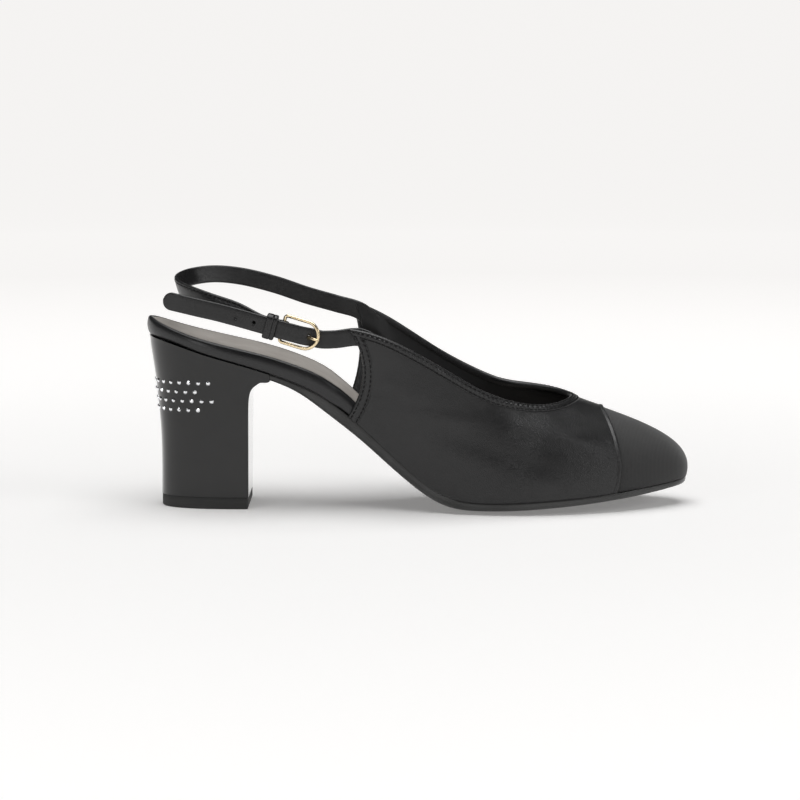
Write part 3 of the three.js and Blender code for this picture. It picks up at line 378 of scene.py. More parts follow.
# %% Shells
class Shell:
    def __init__(self):
        self.points = []
        self.faces = []

    def add(self, points):
        start = len(self.points)
        self.points.extend(np.asarray(points, float).reshape(-1, 3).tolist())
        return list(range(start, len(self.points)))

    def strip(self, lower, upper, closed=False):
        count = len(lower)
        for k in range(count if closed else count - 1):
            after = (k + 1) % count
            self.faces.append((lower[k], lower[after], upper[after], upper[k]))

    def fan(self, ring):
        middle = np.mean([self.points[k] for k in ring], axis=0)
        centre = self.add([middle])[0]
        for k, corner in enumerate(ring):
            self.faces.append((corner, ring[(k + 1) % len(ring)], centre))

    def rings(self, rings, loop=False, ends=True):
        rows = [self.add(ring) for ring in rings]
        for k in range(len(rows) if loop else len(rows) - 1):
            self.strip(rows[k], rows[(k + 1) % len(rows)], True)
        if ends and not loop:
            self.fan(rows[0])
            self.fan(rows[-1])

    def piece(self, name, material, slot, crisp=40.0):
        """The shell as an object on the shoe's body, with its finish."""
        mesh = bpy.data.meshes.new(name)
        mesh.from_pydata(to_frame(self.points).tolist(), [], self.faces)
        work = bmesh.new()
        work.from_mesh(mesh)
        bmesh.ops.remove_doubles(work, verts=work.verts, dist=0.002 * millimetre)
        bmesh.ops.dissolve_degenerate(work, edges=work.edges, dist=0.001 * millimetre)
        bmesh.ops.recalc_face_normals(work, faces=work.faces)
        work.to_mesh(mesh)
        work.free()
        mesh.shade_smooth()
        mesh.set_sharp_from_angle(angle=math.radians(crisp))
        mesh.materials.append(material)
        made = bpy.data.objects.new(name, mesh)
        bpy.context.scene.collection.objects.link(made)
        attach(made, "root")
        print(f"{name}: {len(mesh.polygons)} faces")
        return made


def unit(vectors):
    return vectors / np.maximum(np.linalg.norm(vectors, axis=-1, keepdims=True), 1e-12)


def mix(low, high, share):
    return low + (high - low) * share


def smooth_step(low, high, x):
    share = np.clip((np.asarray(x, float) - low) / (high - low), 0, 1)
    return share * share * (3 - 2 * share)


# %% [markdown]
# ## Smooth lines through given places
# A pattern cutter sets a few marks and lets a thin batten bend through them. A natural cubic
# spline is that batten: it passes every mark and runs on straight past the ends. All the
# shoe's lines go through it, so a few marks give as many points as a piece needs.

# %% Smooth lines
def smooth_line(at, values):
    at = np.asarray(at, float)
    values = np.asarray(values, float)
    step = np.diff(at)
    slope = np.diff(values) / step
    count = len(at)
    system = np.eye(count)
    pull = np.zeros(count)
    for k in range(1, count - 1):
        system[k, k - 1:k + 2] = step[k - 1], 2 * (step[k - 1] + step[k]), step[k]
        pull[k] = 6 * (slope[k] - slope[k - 1])
    bend = np.linalg.solve(system, pull)

    def line(x):
        x = np.asarray(x, float)
        inside = np.clip(x, at[0], at[-1])
        k = np.clip(np.searchsorted(at, inside) - 1, 0, count - 2)
        b = (inside - at[k]) / step[k]
        a = 1 - b
        curve = ((a ** 3 - a) * bend[k] + (b ** 3 - b) * bend[k + 1]) * step[k] ** 2 / 6
        tilt = slope[k] + ((3 * b * b - 1) * bend[k + 1] - (3 * a * a - 1) * bend[k]) * step[k] / 6
        return a * values[k] + b * values[k + 1] + curve + tilt * (x - inside)

    return line


# %% [markdown]
# ## The last's bottom
# The bottom is a line of heights from the heel to the toe, and an outline in plan. The heights
# are shares of a few sizes: how far the seat climbs, how far the toe springs up, how thick the
# sole is, how high the covered rim of the footbed is, and how far the tread bulges.

# %% Heights along the shoe
length = 231.5
half_tread = 36.5
heel_rise = 68.3
toe_spring = 6.4
sole_thickness = 3.2
sole_crown = 1.8
rim_height = 7.2
profile = np.array([
    # share of length, climb, spring, sole, rim, crown
    (0.0, 1.0, 0.0, 0.9, 1.15, 0.0),
    (0.048, 0.958, 0.0, 0.9, 0.9, 0.0),
    (0.104, 0.899, 0.0, 0.9, 0.88, 0.0),
    (0.176, 0.831, 0.0, 0.9, 0.96, 0.0),
    (0.229, 0.776, 0.0, 0.86, 1.05, 0.0),
    (0.284, 0.706, 0.0, 1.15, 1.12, 0.2),
    (0.32, 0.643, 0.0, 1.65, 1.2, 0.4),
    (0.356, 0.56, 0.0, 1.88, 1.2, 0.5),
    (0.392, 0.462, 0.0, 1.86, 1.08, 0.6),
    (0.428, 0.35, 0.0, 1.75, 0.85, 0.7),
    (0.464, 0.237, 0.0, 1.6, 0.66, 0.8),
    (0.5, 0.132, 0.0, 1.4, 0.56, 0.9),
    (0.536, 0.053, 0.0, 1.25, 0.5, 1.0),
    (0.572, 0.011, 0.0, 1.08, 0.48, 1.0),
    (0.61, 0.0, 0.0, 1.0, 0.48, 1.0),
    (0.66, 0.0, 0.03, 1.0, 0.48, 1.0),
    (0.72, 0.0, 0.14, 1.0, 0.48, 0.95),
    (0.8, 0.0, 0.31, 0.92, 0.48, 0.8),
    (0.88, 0.0, 0.55, 0.85, 0.48, 0.5),
    (0.95, 0.0, 0.82, 0.8, 0.48, 0.2),
    (1.0, 0.0, 1.0, 0.72, 0.48, 0.0),
])
climb, spring, sole_edge, rim_edge, crown_depth = (
    smooth_line(profile[:, 0] * length, profile[:, column] * size)
    for column, size in enumerate((heel_rise, toe_spring, sole_thickness, rim_height, sole_crown), 1)
)


def seam_line(x):
    """Where the upper and the footbed meet the sole."""
    return sole_thickness + sole_crown + climb(x) + spring(x)


def bed_top(x):
    return seam_line(x) + rim_edge(x)


print("seat", round(float(bed_top(0)), 1), "mm, toe", round(float(seam_line(length)), 1), "mm high")

# %% [markdown]
# ## The outline in plan
# The outline is set at stations that run from the heel along the outer edge to the toe and
# back along the inner edge. It is one closed smooth line, so the marks go round it twice at
# the ends. A foot curves inward, so the inner edge differs from the outer one at the waist.

# %% Outline
plan = np.array([
    # share of length, outer edge, inner edge
    (0.0, 0.0, 0.0), (0.0075, -0.19, 0.19), (0.033, -0.385, 0.385), (0.099, -0.615, 0.615),
    (0.181, -0.69, 0.685), (0.268, -0.69, 0.66), (0.35, -0.675, 0.58), (0.449, -0.715, 0.535),
    (0.549, -0.865, 0.67), (0.631, -0.98, 0.88), (0.7, -1.0, 1.0), (0.769, -0.93, 0.99),
    (0.829, -0.81, 0.885), (0.881, -0.66, 0.745), (0.924, -0.5, 0.615), (0.961, -0.325, 0.485),
    (0.989, -0.135, 0.32), (1.0, 0.1, 0.1),
])
toe_station = len(plan) - 1
stations = 2 * toe_station
station_keys = np.arange(-4, stations + 5)
station_turn = station_keys % stations
station_row = np.where(station_turn <= toe_station, station_turn, stations - station_turn)
station_edge = np.where(station_turn <= toe_station, plan[station_row, 1], plan[station_row, 2])
outline_x = smooth_line(station_keys, plan[station_row, 0] * length)
outline_y = smooth_line(station_keys, station_edge * half_tread)


def outline(k):
    return np.stack([outline_x(k), outline_y(k)], -1)


def outward(k):
    along = unit(outline(k + 0.01) - outline(k - 0.01))
    return np.stack([along[..., 1], -along[..., 0]], -1)


edge_walk = np.linspace(0, toe_station, 321)
outer_edge = outline(edge_walk)
inner_edge = outline(stations - edge_walk)


def half_width(x, y):
    outer = np.interp(x, outer_edge[:, 0], np.abs(outer_edge[:, 1]))
    inner = np.interp(x, inner_edge[:, 0], np.abs(inner_edge[:, 1]))
    return np.maximum(np.where(np.asarray(y) < 0, outer, inner), 1.0)


def sag(x, y, depth):
    """How far the bottom sinks between its edges, deepest in the middle."""
    share = np.minimum(np.abs(y) / half_width(x, y), 1)
    return depth * (1 - share ** 3)


print("tread", round(float(np.ptp(outline(np.linspace(0, stations, 721))[:, 1])), 1), "mm wide")

# %% [markdown]
# ## Flat bodies on the outline
# The sole, the footbed and the sock are all slabs on this outline. A slab is a stack of
# rings, each moved out or in and set to its own height, with both faces filled across in rows.
# Rings that lie close together at an edge round it, as a scraper and wax do on a real sole.

# %% Slabs
def offset_outline(points, distance):
    before = np.roll(points, 1, 0)
    after = np.roll(points, -1, 0)
    into = unit(points - before)
    along = unit(into + unit(after - points))
    out = np.stack([along[:, 1], -along[:, 0]], 1)
    widen = 1 / np.maximum((along * into).sum(1), 0.7)
    return points + out * (distance * widen)[:, None]


def whole_outline(count):
    return outline(np.arange(2 * count) * toe_station / count)


def cut_outline(count, start_x, across):
    """The outline, cut square across at a place along the shoe."""
    walk = np.linspace(0, toe_station / 2, 4001)
    start = walk[np.argmax(outline_x(walk) >= start_x)]
    points = outline(np.linspace(start, stations - start, 2 * count + 1))
    points[0, 0] = points[-1, 0] = start_x
    steps = np.arange(1, across) / across
    across_cut = mix(points[-1], points[0], steps[:, None])
    return np.vstack([points, across_cut])


def slab(points, count, across, rows):
    """rows hold how far out and how high, each a function of place along and across.

    A square end keeps its place along the shoe, apart from the top ring, which moves in.
    """
    shell = Shell()
    rings = []
    square_end = len(points) > 2 * count
    for number, (out, height) in enumerate(rows):
        flat = offset_outline(points, out(points[:, 0], points[:, 1]) + np.zeros(len(points)))
        if square_end and number < len(rows) - 1:
            flat[points[:, 0] <= points[0, 0], 0] = points[0, 0]
        high = height(flat[:, 0], flat[:, 1]) + np.zeros(len(points))
        rings.append(np.column_stack([flat, high]))
    placed = [shell.add(ring) for ring in rings]
    for lower, upper in zip(placed, placed[1:]):
        shell.strip(lower, upper, True)
    for ring, indices, height in (
        (rings[0], placed[0], rows[0][1]),
        (rings[-1], placed[-1], rows[-1][1]),
    ):
        filled = []
        for k in range(count + 1):
            far = (2 * count - k) % len(points)
            if k == 0 and square_end:
                end_row = [indices[len(points) - m] for m in range(1, across)]
                filled.append([indices[0], *end_row, indices[far]])
                continue
            if k in (0, count):
                filled.append([indices[k]] * (across + 1))
                continue
            steps = np.arange(1, across)[:, None] / across
            row = mix(ring[k], ring[far], steps)
            row[:, 2] = height(row[:, 0], row[:, 1])
            filled.append([indices[k], *shell.add(row), indices[far]])
        for near, ahead in zip(filled, filled[1:]):
            for m in range(across):
                corners = [near[m], near[m + 1], ahead[m + 1], ahead[m]]
                corners = list(dict.fromkeys(corners))
                if len(corners) > 2:
                    shell.faces.append(tuple(corners))
    return shell


# %% [markdown]
# ## The sole
# A dress sole is thin at the ball and scraped round under the waist, where it takes a higher
# gloss. It begins in front of the heel's lip. At the waist its edge tucks in under the shoe,
# and from the ball on it shows a little outside the upper. The tread itself is flat.

# %% Outsole
heel_lip = 53.0
sole_proud = 0.5
waist_tuck = 2.2
toe_tuck = 0.7
waist_end = length * 0.56
tread_sink = 0.3
sole_round = 0.9


def sole_out(x):
    forepart = smooth_step(waist_end - length * 0.12, waist_end + length * 0.03, x)
    tip = smooth_step(length * 0.86, length * 0.98, x)
    return mix(-waist_tuck, sole_proud, forepart) - (sole_proud + toe_tuck) * tip


def tread_height(x, y):
    crown = crown_depth(x) + tread_sink * smooth_step(length * 0.5, length * 0.58, x)
    return np.maximum(seam_line(x) - sole_edge(x) - sag(x, y, crown), 0)


def sole_side(share):
    return lambda x, y: mix(tread_height(x, half_width(x, y)), seam_line(x), share)


def sole_under(side_share, share):
    """A height between the tread and a place up the sole's side."""
    return lambda x, y: mix(tread_height(x, y), sole_side(side_share)(x, y), share)


def sole_in(rounds):
    """This many roundings in from the sole's edge."""
    return lambda x, y: sole_out(x) - sole_round * rounds


bed_gap = 0.3
sole_rows = [
    (sole_in(3.2), tread_height),
    (sole_in(1.9), sole_under(0.1, 0.15)),
    (sole_in(1.0), sole_under(0.2, 0.45)),
    (sole_in(0.4), sole_under(0.3, 0.8)),
    (sole_in(0.1), sole_side(0.4)),
    (sole_in(0.0), sole_side(0.6)),
    (sole_in(0.0), sole_side(0.85)),
    (sole_in(0.15), sole_side(0.97)),
    (sole_in(0.5), lambda x, y: seam_line(x)),
    (sole_in(2.5), lambda x, y: seam_line(x) - sag(x, y, crown_depth(x)) - bed_gap),
]
sole_count = 110
sole_across = 14
outsole = slab(cut_outline(sole_count, heel_lip, sole_across), sole_count, sole_across, sole_rows)
outsole = outsole.piece("sole", sole_leather, "sole_leather", 50)
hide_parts("outsole")

# %% [markdown]
# ## The covered footbed and its grey sock
# Behind the upper the foot stands on a board with a padded rim, covered in the upper's
# leather. The rim is a rounded section carried round the outline. Forward of the rear cuts
# the board narrows to lie inside the upper. The sock is glued into it, a little below the lip,
# and its edge is turned down, so a fine dark line runs between the two.

# %% Footbed and sock
rim_round = 1.6
lip_width = 1.6
sock_thickness = 0.8
wall = 1.8
cap_length = 30.8
cap_seam = length - cap_length
cap_blend = 8.0
cap_depth = 0.9
tuck_from = length * 0.335
tuck_to = length * 0.36


def wall_depth(x):
    return wall + cap_depth * smooth_step(cap_seam - 2 * cap_blend, cap_seam - cap_blend, x)


def bed_out(x):
    return -(wall_depth(x) + 0.1) * smooth_step(tuck_from, tuck_to, x)


rim_out = smooth_line(range(7), np.array([-1.6, -0.5, 0.0, 0.1, -0.1, -0.5, -1.1]) * rim_round)
rim_up = smooth_line(range(7), [0.0, 0.07, 0.3, 0.55, 0.8, 0.95, 1.0])
bed_rows = []
for step in np.linspace(0, 6, 25):
    bed_rows.append((
        lambda x, y, step=step: bed_out(x) + rim_out(step),
        lambda x, y, step=step: (
            seam_line(x) + rim_edge(x) * rim_up(step) - sag(x, y, crown_depth(x)) * (1 - min(step, 1.0))
        ),
    ))
lip_in = rim_round + lip_width * 0.5
bed_rows += [
    (lambda x, y: bed_out(x) - lip_in + 0.25, lambda x, y: bed_top(x) - 0.02),
    (lambda x, y: bed_out(x) - lip_in, lambda x, y: bed_top(x) - 0.2),
    (lambda x, y: bed_out(x) - lip_in - 0.15, lambda x, y: bed_top(x) - sock_thickness),
]
bed_count = 84
bed_across = 12
footbed = slab(whole_outline(bed_count), bed_count, bed_across, bed_rows)
footbed = footbed.piece("covered_rim", rim_leather, "black_nappa")
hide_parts("footbed")

sock_in = lip_in + 0.2
sock_rows = [
    (lambda x, y: bed_out(x) - sock_in - 0.3, lambda x, y: bed_top(x) - sock_thickness - 0.1),
    (lambda x, y: bed_out(x) - sock_in, lambda x, y: bed_top(x) - sock_thickness + 0.1),
    (lambda x, y: bed_out(x) - sock_in, lambda x, y: bed_top(x) - 0.35),
    (lambda x, y: bed_out(x) - sock_in - 0.12, lambda x, y: bed_top(x) - 0.15),
    (lambda x, y: bed_out(x) - sock_in - 0.45, lambda x, y: bed_top(x) - 0.05),
    (lambda x, y: bed_out(x) - sock_in - 1.2, lambda x, y: bed_top(x) - 0.02),
]
sock = slab(whole_outline(bed_count), bed_count, bed_across, sock_rows)
sock = sock.piece("sock", sock_grey, "sock_leather")
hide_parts("sock_lining")

# %% [markdown]
# ## The block heel
# The heel is turned from one block: a flat breast in front, a round back, and a flare from
# the small tip to the seat. Near the seat the breast sweeps forward into a thin lip under the
# waist. Levels from the tip to the seat set this, and each level is a D. Its front corners are
# slightly rounded, because a cover of patent leather never folds to a knife edge.

# %% Heel
heel_tip_width = 38.0
heel_seat_width = 49.6
top_piece_height = 5.0
heel_breast = heel_set_back + heel_tip_length
heel_levels = np.array([
    # height to the lip, rise above it, flare, back, front
    (0.0, 0, 0.0, 1.0, 0.0), (0.3, 0, 0.06, 1.02, 0.01), (0.57, 0, 0.2, 0.95, 0.02),
    (0.75, 0, 0.35, 0.82, 0.03), (0.835, 0, 0.46, 0.75, 0.055), (0.9, 0, 0.56, 0.69, 0.12),
    (0.945, 0, 0.63, 0.65, 0.26), (0.972, 0, 0.67, 0.62, 0.44), (0.99, 0, 0.7, 0.6, 0.66),
    (1.0, 0, 0.72, 0.59, 1.0), (1.0, 0.25, 0.82, 0.47, 1.0), (1.0, 0.55, 0.93, 0.32, 1.0),
    (1.0, 0.85, 0.99, 0.19, 1.0), (1.0, 1.15, 1.0, 0.13, 1.0),
])
lip_top = float(seam_line(heel_lip))
lip_under = lip_top - 0.3 - float(sole_edge(heel_lip))
seat_top = float(seam_line(0))
heel_bottom = top_piece_height + 0.05
level_height = np.where(
    heel_levels[:, 1] > 0,
    mix(lip_under, seat_top, heel_levels[:, 1]),
    mix(heel_bottom, lip_under, heel_levels[:, 0]),
)
level_keys = np.arange(len(heel_levels))
level_z = smooth_line(level_keys, level_height)
level_flare = smooth_line(level_keys, heel_levels[:, 2])
level_back = smooth_line(level_keys, heel_levels[:, 3] * heel_set_back)
level_front = smooth_line(level_keys, mix(heel_breast, heel_lip, heel_levels[:, 4]))


def d_ring(z, back, breast, front, half, squareness, corner, sides=72):
    """A D in plan: a round back, straight sides and a flat front with rounded corners."""
    turn = np.linspace(-math.pi / 2, math.pi / 2, sides + 1)
    away = np.maximum(np.cos(turn), 0) ** (2 / squareness)
    aside = np.abs(np.sin(turn)) ** (2 / squareness) * np.sign(turn)
    round_back = np.stack([breast - (breast - back) * away, half * aside], -1)
    arc = np.linspace(0, math.pi / 2, 6)
    near = np.stack([front - corner + corner * np.cos(arc), -half + corner - corner * np.sin(arc)], -1)
    far = near[::-1] * (1, -1)
    front_line = np.linspace(far[-1], near[0], 8)[1:-1]
    flat = np.vstack([near, round_back[1:-1], far, front_line])
    return np.column_stack([flat, np.full(len(flat), z)])


def heel_level(u):
    """The D at level u, cut off by the underside of the footbed."""
    flare = float(level_flare(u))
    half = mix(heel_tip_width, heel_seat_width, flare) / 2
    squareness = mix(2.6, 2.2, flare)
    front = min(float(level_front(u)), heel_lip)
    ring = d_ring(float(level_z(u)), float(level_back(u)), heel_breast, front, half, squareness, 0.45)
    ring[:, 2] = np.minimum(ring[:, 2], seam_line(ring[:, 0]) - 0.03)
    return ring


heel_shell = Shell()
heel_steps = np.concatenate([np.linspace(0, 3, 13), np.linspace(3, 9, 37)[1:], np.linspace(9, 13, 15)[1:]])
heel_shell.rings([heel_level(u) for u in heel_steps])
heel = heel_shell.piece("block_heel", patent_cover, "patent_cover", 28)
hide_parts("heel")

# %% [markdown]
# ## The top piece
# A wearing tip of rubber is pinned under the heel. Its edges are chamfered, and it is a hair
# smaller than the heel, so the joint reads as a fine line.

# %% Top piece
tip_shell = Shell()
tip_rows = ((0.0, 0.65), (0.15, 0.4), (0.45, 0.25), (2.5, 0.25), (4.75, 0.25), (4.93, 0.35), (5.0, 0.55))
tip_rings = []
for z, inset in tip_rows:
    breast = heel_breast - inset
    tip_rings.append(d_ring(z, heel_set_back + inset, breast, breast, heel_tip_width / 2 - inset, 2.6, 0.6))
tip_shell.rings(tip_rings)
tip = tip_shell.piece("rubber_tip", heel_rubber, "heel_rubber", 40)
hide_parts("top_piece")

# %% [markdown]
# ## The skin of the upper
# A lasted upper is one curved skin. Here it is spanned by ribs: each stands on the outline and
# ends on the topline, and two handles bow it, as on a curve in a drawing program. A point on
# the skin has a rib number i, from the outer rear cut round the toe to the inner rear cut, and
# a share t up its rib. Every part of the upper is drawn in these two numbers.

# %% Ribs
collar_height = 84.4
wall_belly = 6.5
cut_sweep = 8.0
ribs = np.array([
    # station, x, y, z of the topline, belly, lift, reach, drop, sweep
    (6.25, 0.3755, -0.9, 0.922, 0.77, 0.35, 0.0, 0.33, 1.0),
    (7, 0.4425, -0.945, 0.872, 0.8, 0.35, 0.0, 0.33, 0.44),
    (8, 0.5335, -0.962, 0.742, 0.71, 0.35, 0.0, 0.33, 0.125),
    (9, 0.609, -0.9, 0.622, 0.52, 0.37, 0.2, 0.3, 0.0),
    (10, 0.665, -0.79, 0.562, 0.46, 0.4, 0.4, 0.24, 0.0),
    (11, 0.7105, -0.635, 0.5355, 0.5, 0.43, 0.52, 0.22, 0.0),
    (12, 0.741, -0.47, 0.53, 0.54, 0.45, 0.6, 0.25, 0.0),
    (13, 0.7605, -0.31, 0.535, 0.6, 0.46, 0.64, 0.28, 0.0),
    (14, 0.772, -0.17, 0.5405, 0.66, 0.465, 0.66, 0.3, 0.0),
    (15, 0.7785, -0.06, 0.544, 0.7, 0.466, 0.66, 0.315, 0.0),
    (16, 0.7815, 0.03, 0.5455, 0.72, 0.466, 0.66, 0.322, 0.0),
    (17, 0.782, 0.11, 0.5465, 0.72, 0.466, 0.66, 0.322, 0.0),
    (18, 0.781, 0.2, 0.5475, 0.72, 0.466, 0.66, 0.322, 0.0),
    (19, 0.777, 0.31, 0.55, 0.7, 0.466, 0.66, 0.315, 0.0),
    (20, 0.769, 0.43, 0.555, 0.66, 0.46, 0.65, 0.3, 0.0),
    (21, 0.755, 0.55, 0.563, 0.58, 0.45, 0.62, 0.28, 0.0),
    (22, 0.7335, 0.665, 0.572, 0.52, 0.44, 0.56, 0.25, 0.0),
    (23, 0.7015, 0.785, 0.5795, 0.46, 0.42, 0.48, 0.22, 0.0),
    (24, 0.656, 0.88, 0.597, 0.49, 0.4, 0.36, 0.24, 0.0),
    (25, 0.6025, 0.94, 0.652, 0.65, 0.37, 0.15, 0.3, 0.0),
    (26, 0.531, 0.97, 0.758, 0.86, 0.35, 0.0, 0.33, 0.0625),
    (27, 0.445, 0.965, 0.908, 1.0, 0.35, 0.0, 0.33, 0.25),
    (27.8, 0.3735, 0.91, 1.0, 0.92, 0.35, 0.0, 0.33, 0.69),
])
last_rib = len(ribs) - 1
rib_keys = np.arange(len(ribs))
rib_sizes = (1, length, half_tread, collar_height, wall_belly, 1, 1, 1, cut_sweep)
rib_foot, rib_x, rib_y, rib_z, rib_belly, rib_lift, rib_reach, rib_drop, rib_sweep = (
    smooth_line(rib_keys, ribs[:, column] * size) for column, size in enumerate(rib_sizes)
)


def skin_point(i, t):
    i, t = np.broadcast_arrays(np.asarray(i, float), np.asarray(t, float))
    k = rib_foot(i)
    base = outline(k)
    out = outward(k)
    foot = np.stack([base[..., 0], base[..., 1], seam_line(base[..., 0])], -1)
    top = np.stack([rib_x(i), rib_y(i), rib_z(i)], -1)
    height = top[..., 2] - foot[..., 2]
    low = foot.copy()
    low[..., 0] += out[..., 0] * rib_belly(i) + rib_sweep(i)
    low[..., 1] += out[..., 1] * rib_belly(i)
    low[..., 2] += rib_lift(i) * height
    high = top.copy()
    high[..., 0] += rib_reach(i) * (foot[..., 0] - top[..., 0]) + rib_sweep(i)
    high[..., 1] += rib_reach(i) * (foot[..., 1] - top[..., 1])
    high[..., 2] -= rib_drop(i) * height
    s = (1 - t)[..., None]
    t = t[..., None]
    return foot * s ** 3 + low * 3 * s * s * t + high * 3 * s * t * t + top * t ** 3


def skin_normal(i, t):
    i, t = np.broadcast_arrays(np.asarray(i, float), np.asarray(t, float))
    along = skin_point(i + 0.01, t) - skin_point(i - 0.01, t)
    up = skin_point(i, t + 0.01) - skin_point(i, t - 0.01)
    return unit(np.cross(along, up))


def skin_layer(i, t, depth):
    """A point under the skin. A negative depth lies outside it."""
    return skin_point(i, t) - skin_normal(i, t) * np.asarray(depth)[..., None]


def share_below(i, distance):
    """The share t that lies this far below the topline, measured down each rib."""
    i = np.atleast_1d(np.asarray(i, float))
    shares = np.linspace(1, 0.5, 201)
    line = skin_point(i[:, None], shares[None, :])
    run = np.cumsum(np.linalg.norm(np.diff(line, axis=1), axis=2), axis=1)
    run = np.hstack([np.zeros((len(i), 1)), run])
    distance = np.broadcast_to(distance, i.shape)
    return np.array([np.interp(d, row, shares) for d, row in zip(distance, run)])


def rib_inside(t, distance, inner_side=False):
    """The rib number that lies this far inside a rear cut, at each share t."""
    t = np.atleast_1d(np.asarray(t, float))
    numbers = np.linspace(0, 1, 101)
    if inner_side:
        numbers = last_rib - numbers
    line = skin_point(numbers[None, :], t[:, None])
    run = np.cumsum(np.linalg.norm(np.diff(line, axis=1), axis=2), axis=1)
    run = np.hstack([np.zeros((len(t), 1)), run])
    return np.array([np.interp(distance, row, numbers) for row in run])


print("topline", np.round(skin_point(0, 1), 1), "to", np.round(skin_point(last_rib, 1), 1))

# %% [markdown]
# ## Where the cap ends
# The toe cap and the vamp meet in a seam that bows forward round the toe. The vamp lies on
# top, with a turned edge. To part the two cleanly, the skin is laid out as a fine lattice in
# i and t, and each triangle that the seam crosses is cut along it. Both parts then end on the
# same line whatever way the lattice runs.

# %% Cutting the skin along the seam
cap_bow = 5.0
cap_bow_height = 20.0


def seam_gap(i, t):
    """How far in front of the seam a point of the skin lies."""
    point = skin_point(i, t)
    return point[..., 0] - cap_seam + cap_bow * ((point[..., 2] - cap_bow_height) / cap_bow_height) ** 2


def cut_lattice(i, t, level, forward):
    """The lattice's triangles in front of a level of the seam gap, or behind it."""
    columns, rows = i.shape
    number = np.arange(columns * rows).reshape(columns, rows)
    a, b, c, d = number[:-1, :-1], number[1:, :-1], number[1:, 1:], number[:-1, 1:]
    triangles = np.concatenate([
        np.stack([a, b, c], -1).reshape(-1, 3),
        np.stack([a, c, d], -1).reshape(-1, 3),
    ])
    sign = 1 if forward else -1
    places = np.stack([i.ravel(), t.ravel()], -1).tolist()
    value = (sign * (seam_gap(i, t) - level)).ravel()
    kept = value > 0
    cuts = {}

    def cut_between(p, q):
        key = (min(p, q), max(p, q))
        if key not in cuts:
            low, high = np.array(places[p]), np.array(places[q])
            if value[p] > value[q]:
                low, high = high, low
            for _ in range(14):
                middle = (low + high) / 2
                if sign * (seam_gap(*middle) - level) > 0:
                    high = middle
                else:
                    low = middle
            cuts[key] = len(places)
            places.append(((low + high) / 2).tolist())
        return cuts[key]

    inside = kept[triangles].sum(1)
    result = triangles[inside == 3].tolist()
    for corners in triangles[(inside > 0) & (inside < 3)].tolist():
        loop = []
        for k in range(3):
            p, q = corners[k], corners[(k + 1) % 3]
            if kept[p]:
                loop.append(p)
            if kept[p] != kept[q]:
                loop.append(cut_between(p, q))
        for k in range(1, len(loop) - 1):
            result.append([loop[0], loop[k], loop[k + 1]])
    result = np.array(result)
    used = np.unique(result)
    renumber = np.full(len(places), -1)
    renumber[used] = np.arange(len(used))
    places = np.array(places)[used]
    return places[:, 0], places[:, 1], renumber[result]


def skin_sheet(i, t, triangles, outer_depth, inner_depth):
    """A closed sheet of leather: an outer face, an inner face and a wall round the edge."""
    shell = Shell()
    outer = shell.add(skin_layer(i, t, outer_depth))
    inner = shell.add(skin_layer(i, t, inner_depth))
    edges = {}
    for a, b, c in triangles.tolist():
        shell.faces.append((outer[a], outer[b], outer[c]))
        shell.faces.append((inner[a], inner[c], inner[b]))
        for p, q in ((a, b), (b, c), (c, a)):
            key = (min(p, q), max(p, q))
            edges[key] = None if key in edges else (p, q)
    for edge in edges.values():
        if edge:
            p, q = edge
            shell.faces.append((outer[q], outer[p], inner[p], inner[q]))
    return shell


# %% [markdown]
# ## The vamp's soft shape
# Leather over a last is never as even as a drawing. It puffs out a little below the band, gives
# where the foot bends, and is drawn in again along the side. These are broad shallow ridges
# and troughs, set one by one along the shoe and up it, and added to the skin before it is cut.
# They decide where the black leather mirrors the light above and where the dark between.

# %% Vamp and lining
vamp_folds = (
    # side, x, z, fall per mm to the toe, width along, width up, height in mm; troughs negative
    (-1, 104.0, 53.0, 0.34, 15.0, 5.5, 0.75),
    (-1, 106.0, 46.5, 0.12, 15.0, 3.2, -0.50),
    (-1, 121.0, 41.5, 0.14, 20.0, 3.2, 0.40),
    (-1, 151.0, 25.5, 0.33, 26.0, 4.5, -0.55),
    (-1, 136.0, 24.0, 0.25, 22.0, 5.0, 0.30),
    (-1, 163.0, 36.0, 0.25, 16.0, 3.5, 0.40),
    (-1, 182.0, 31.0, 0.30, 9.0, 3.0, 0.45),
    (-1, 190.0, 25.0, 0.30, 7.0, 2.5, 0.30),
    (-1, 98.0, 36.0, 0.80, 12.0, 4.0, -0.30),
    (-1, 178.0, 14.0, 0.0, 22.0, 4.0, 0.25),
    (1, 104.0, 56.0, 0.34, 15.0, 6.0, 0.60),
    (1, 110.0, 46.0, 0.15, 16.0, 4.0, -0.40),
    (1, 150.0, 27.0, 0.30, 24.0, 5.0, -0.40),
    (1, 172.0, 34.0, 0.25, 14.0, 4.0, 0.35),
)


def fold_height(i, t):
    point = skin_point(i, t)
    x, y, z = point[..., 0], point[..., 1], point[..., 2]
    total = np.zeros(x.shape)
    for side, along_x, up_z, fall, along, up, height in vamp_folds:
        off = (z - up_z + fall * (x - along_x)) / up
        total += height * np.exp(-((x - along_x) / along) ** 2 - off ** 2) * (y * side > 0)
    edge = np.minimum(smooth_step(0.0, 0.12, t), smooth_step(0.0, 0.5, np.minimum(i, last_rib - i)))
    return total * edge


def lattice(columns, rows, first, last, lowest, below):
    """Rib numbers and shares of a lattice that ends some way below the topline."""
    numbers = np.linspace(first, last, columns)
    highest = share_below(numbers, below)
    shares = mix(lowest, highest[:, None], np.linspace(0, 1, rows)[None, :])
    return np.repeat(numbers[:, None], rows, 1), shares


vamp_i, vamp_t = lattice(400, 64, 0.03, last_rib - 0.03, 0.0, 1.2)
cut_i, cut_t, cut_faces = cut_lattice(vamp_i, vamp_t, -0.5, False)
vamp = skin_sheet(cut_i, cut_t, cut_faces, -fold_height(cut_i, cut_t), np.full(len(cut_i), 0.9))
vamp = vamp.piece("vamp", nappa, "black_nappa", 60)
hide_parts("upper")

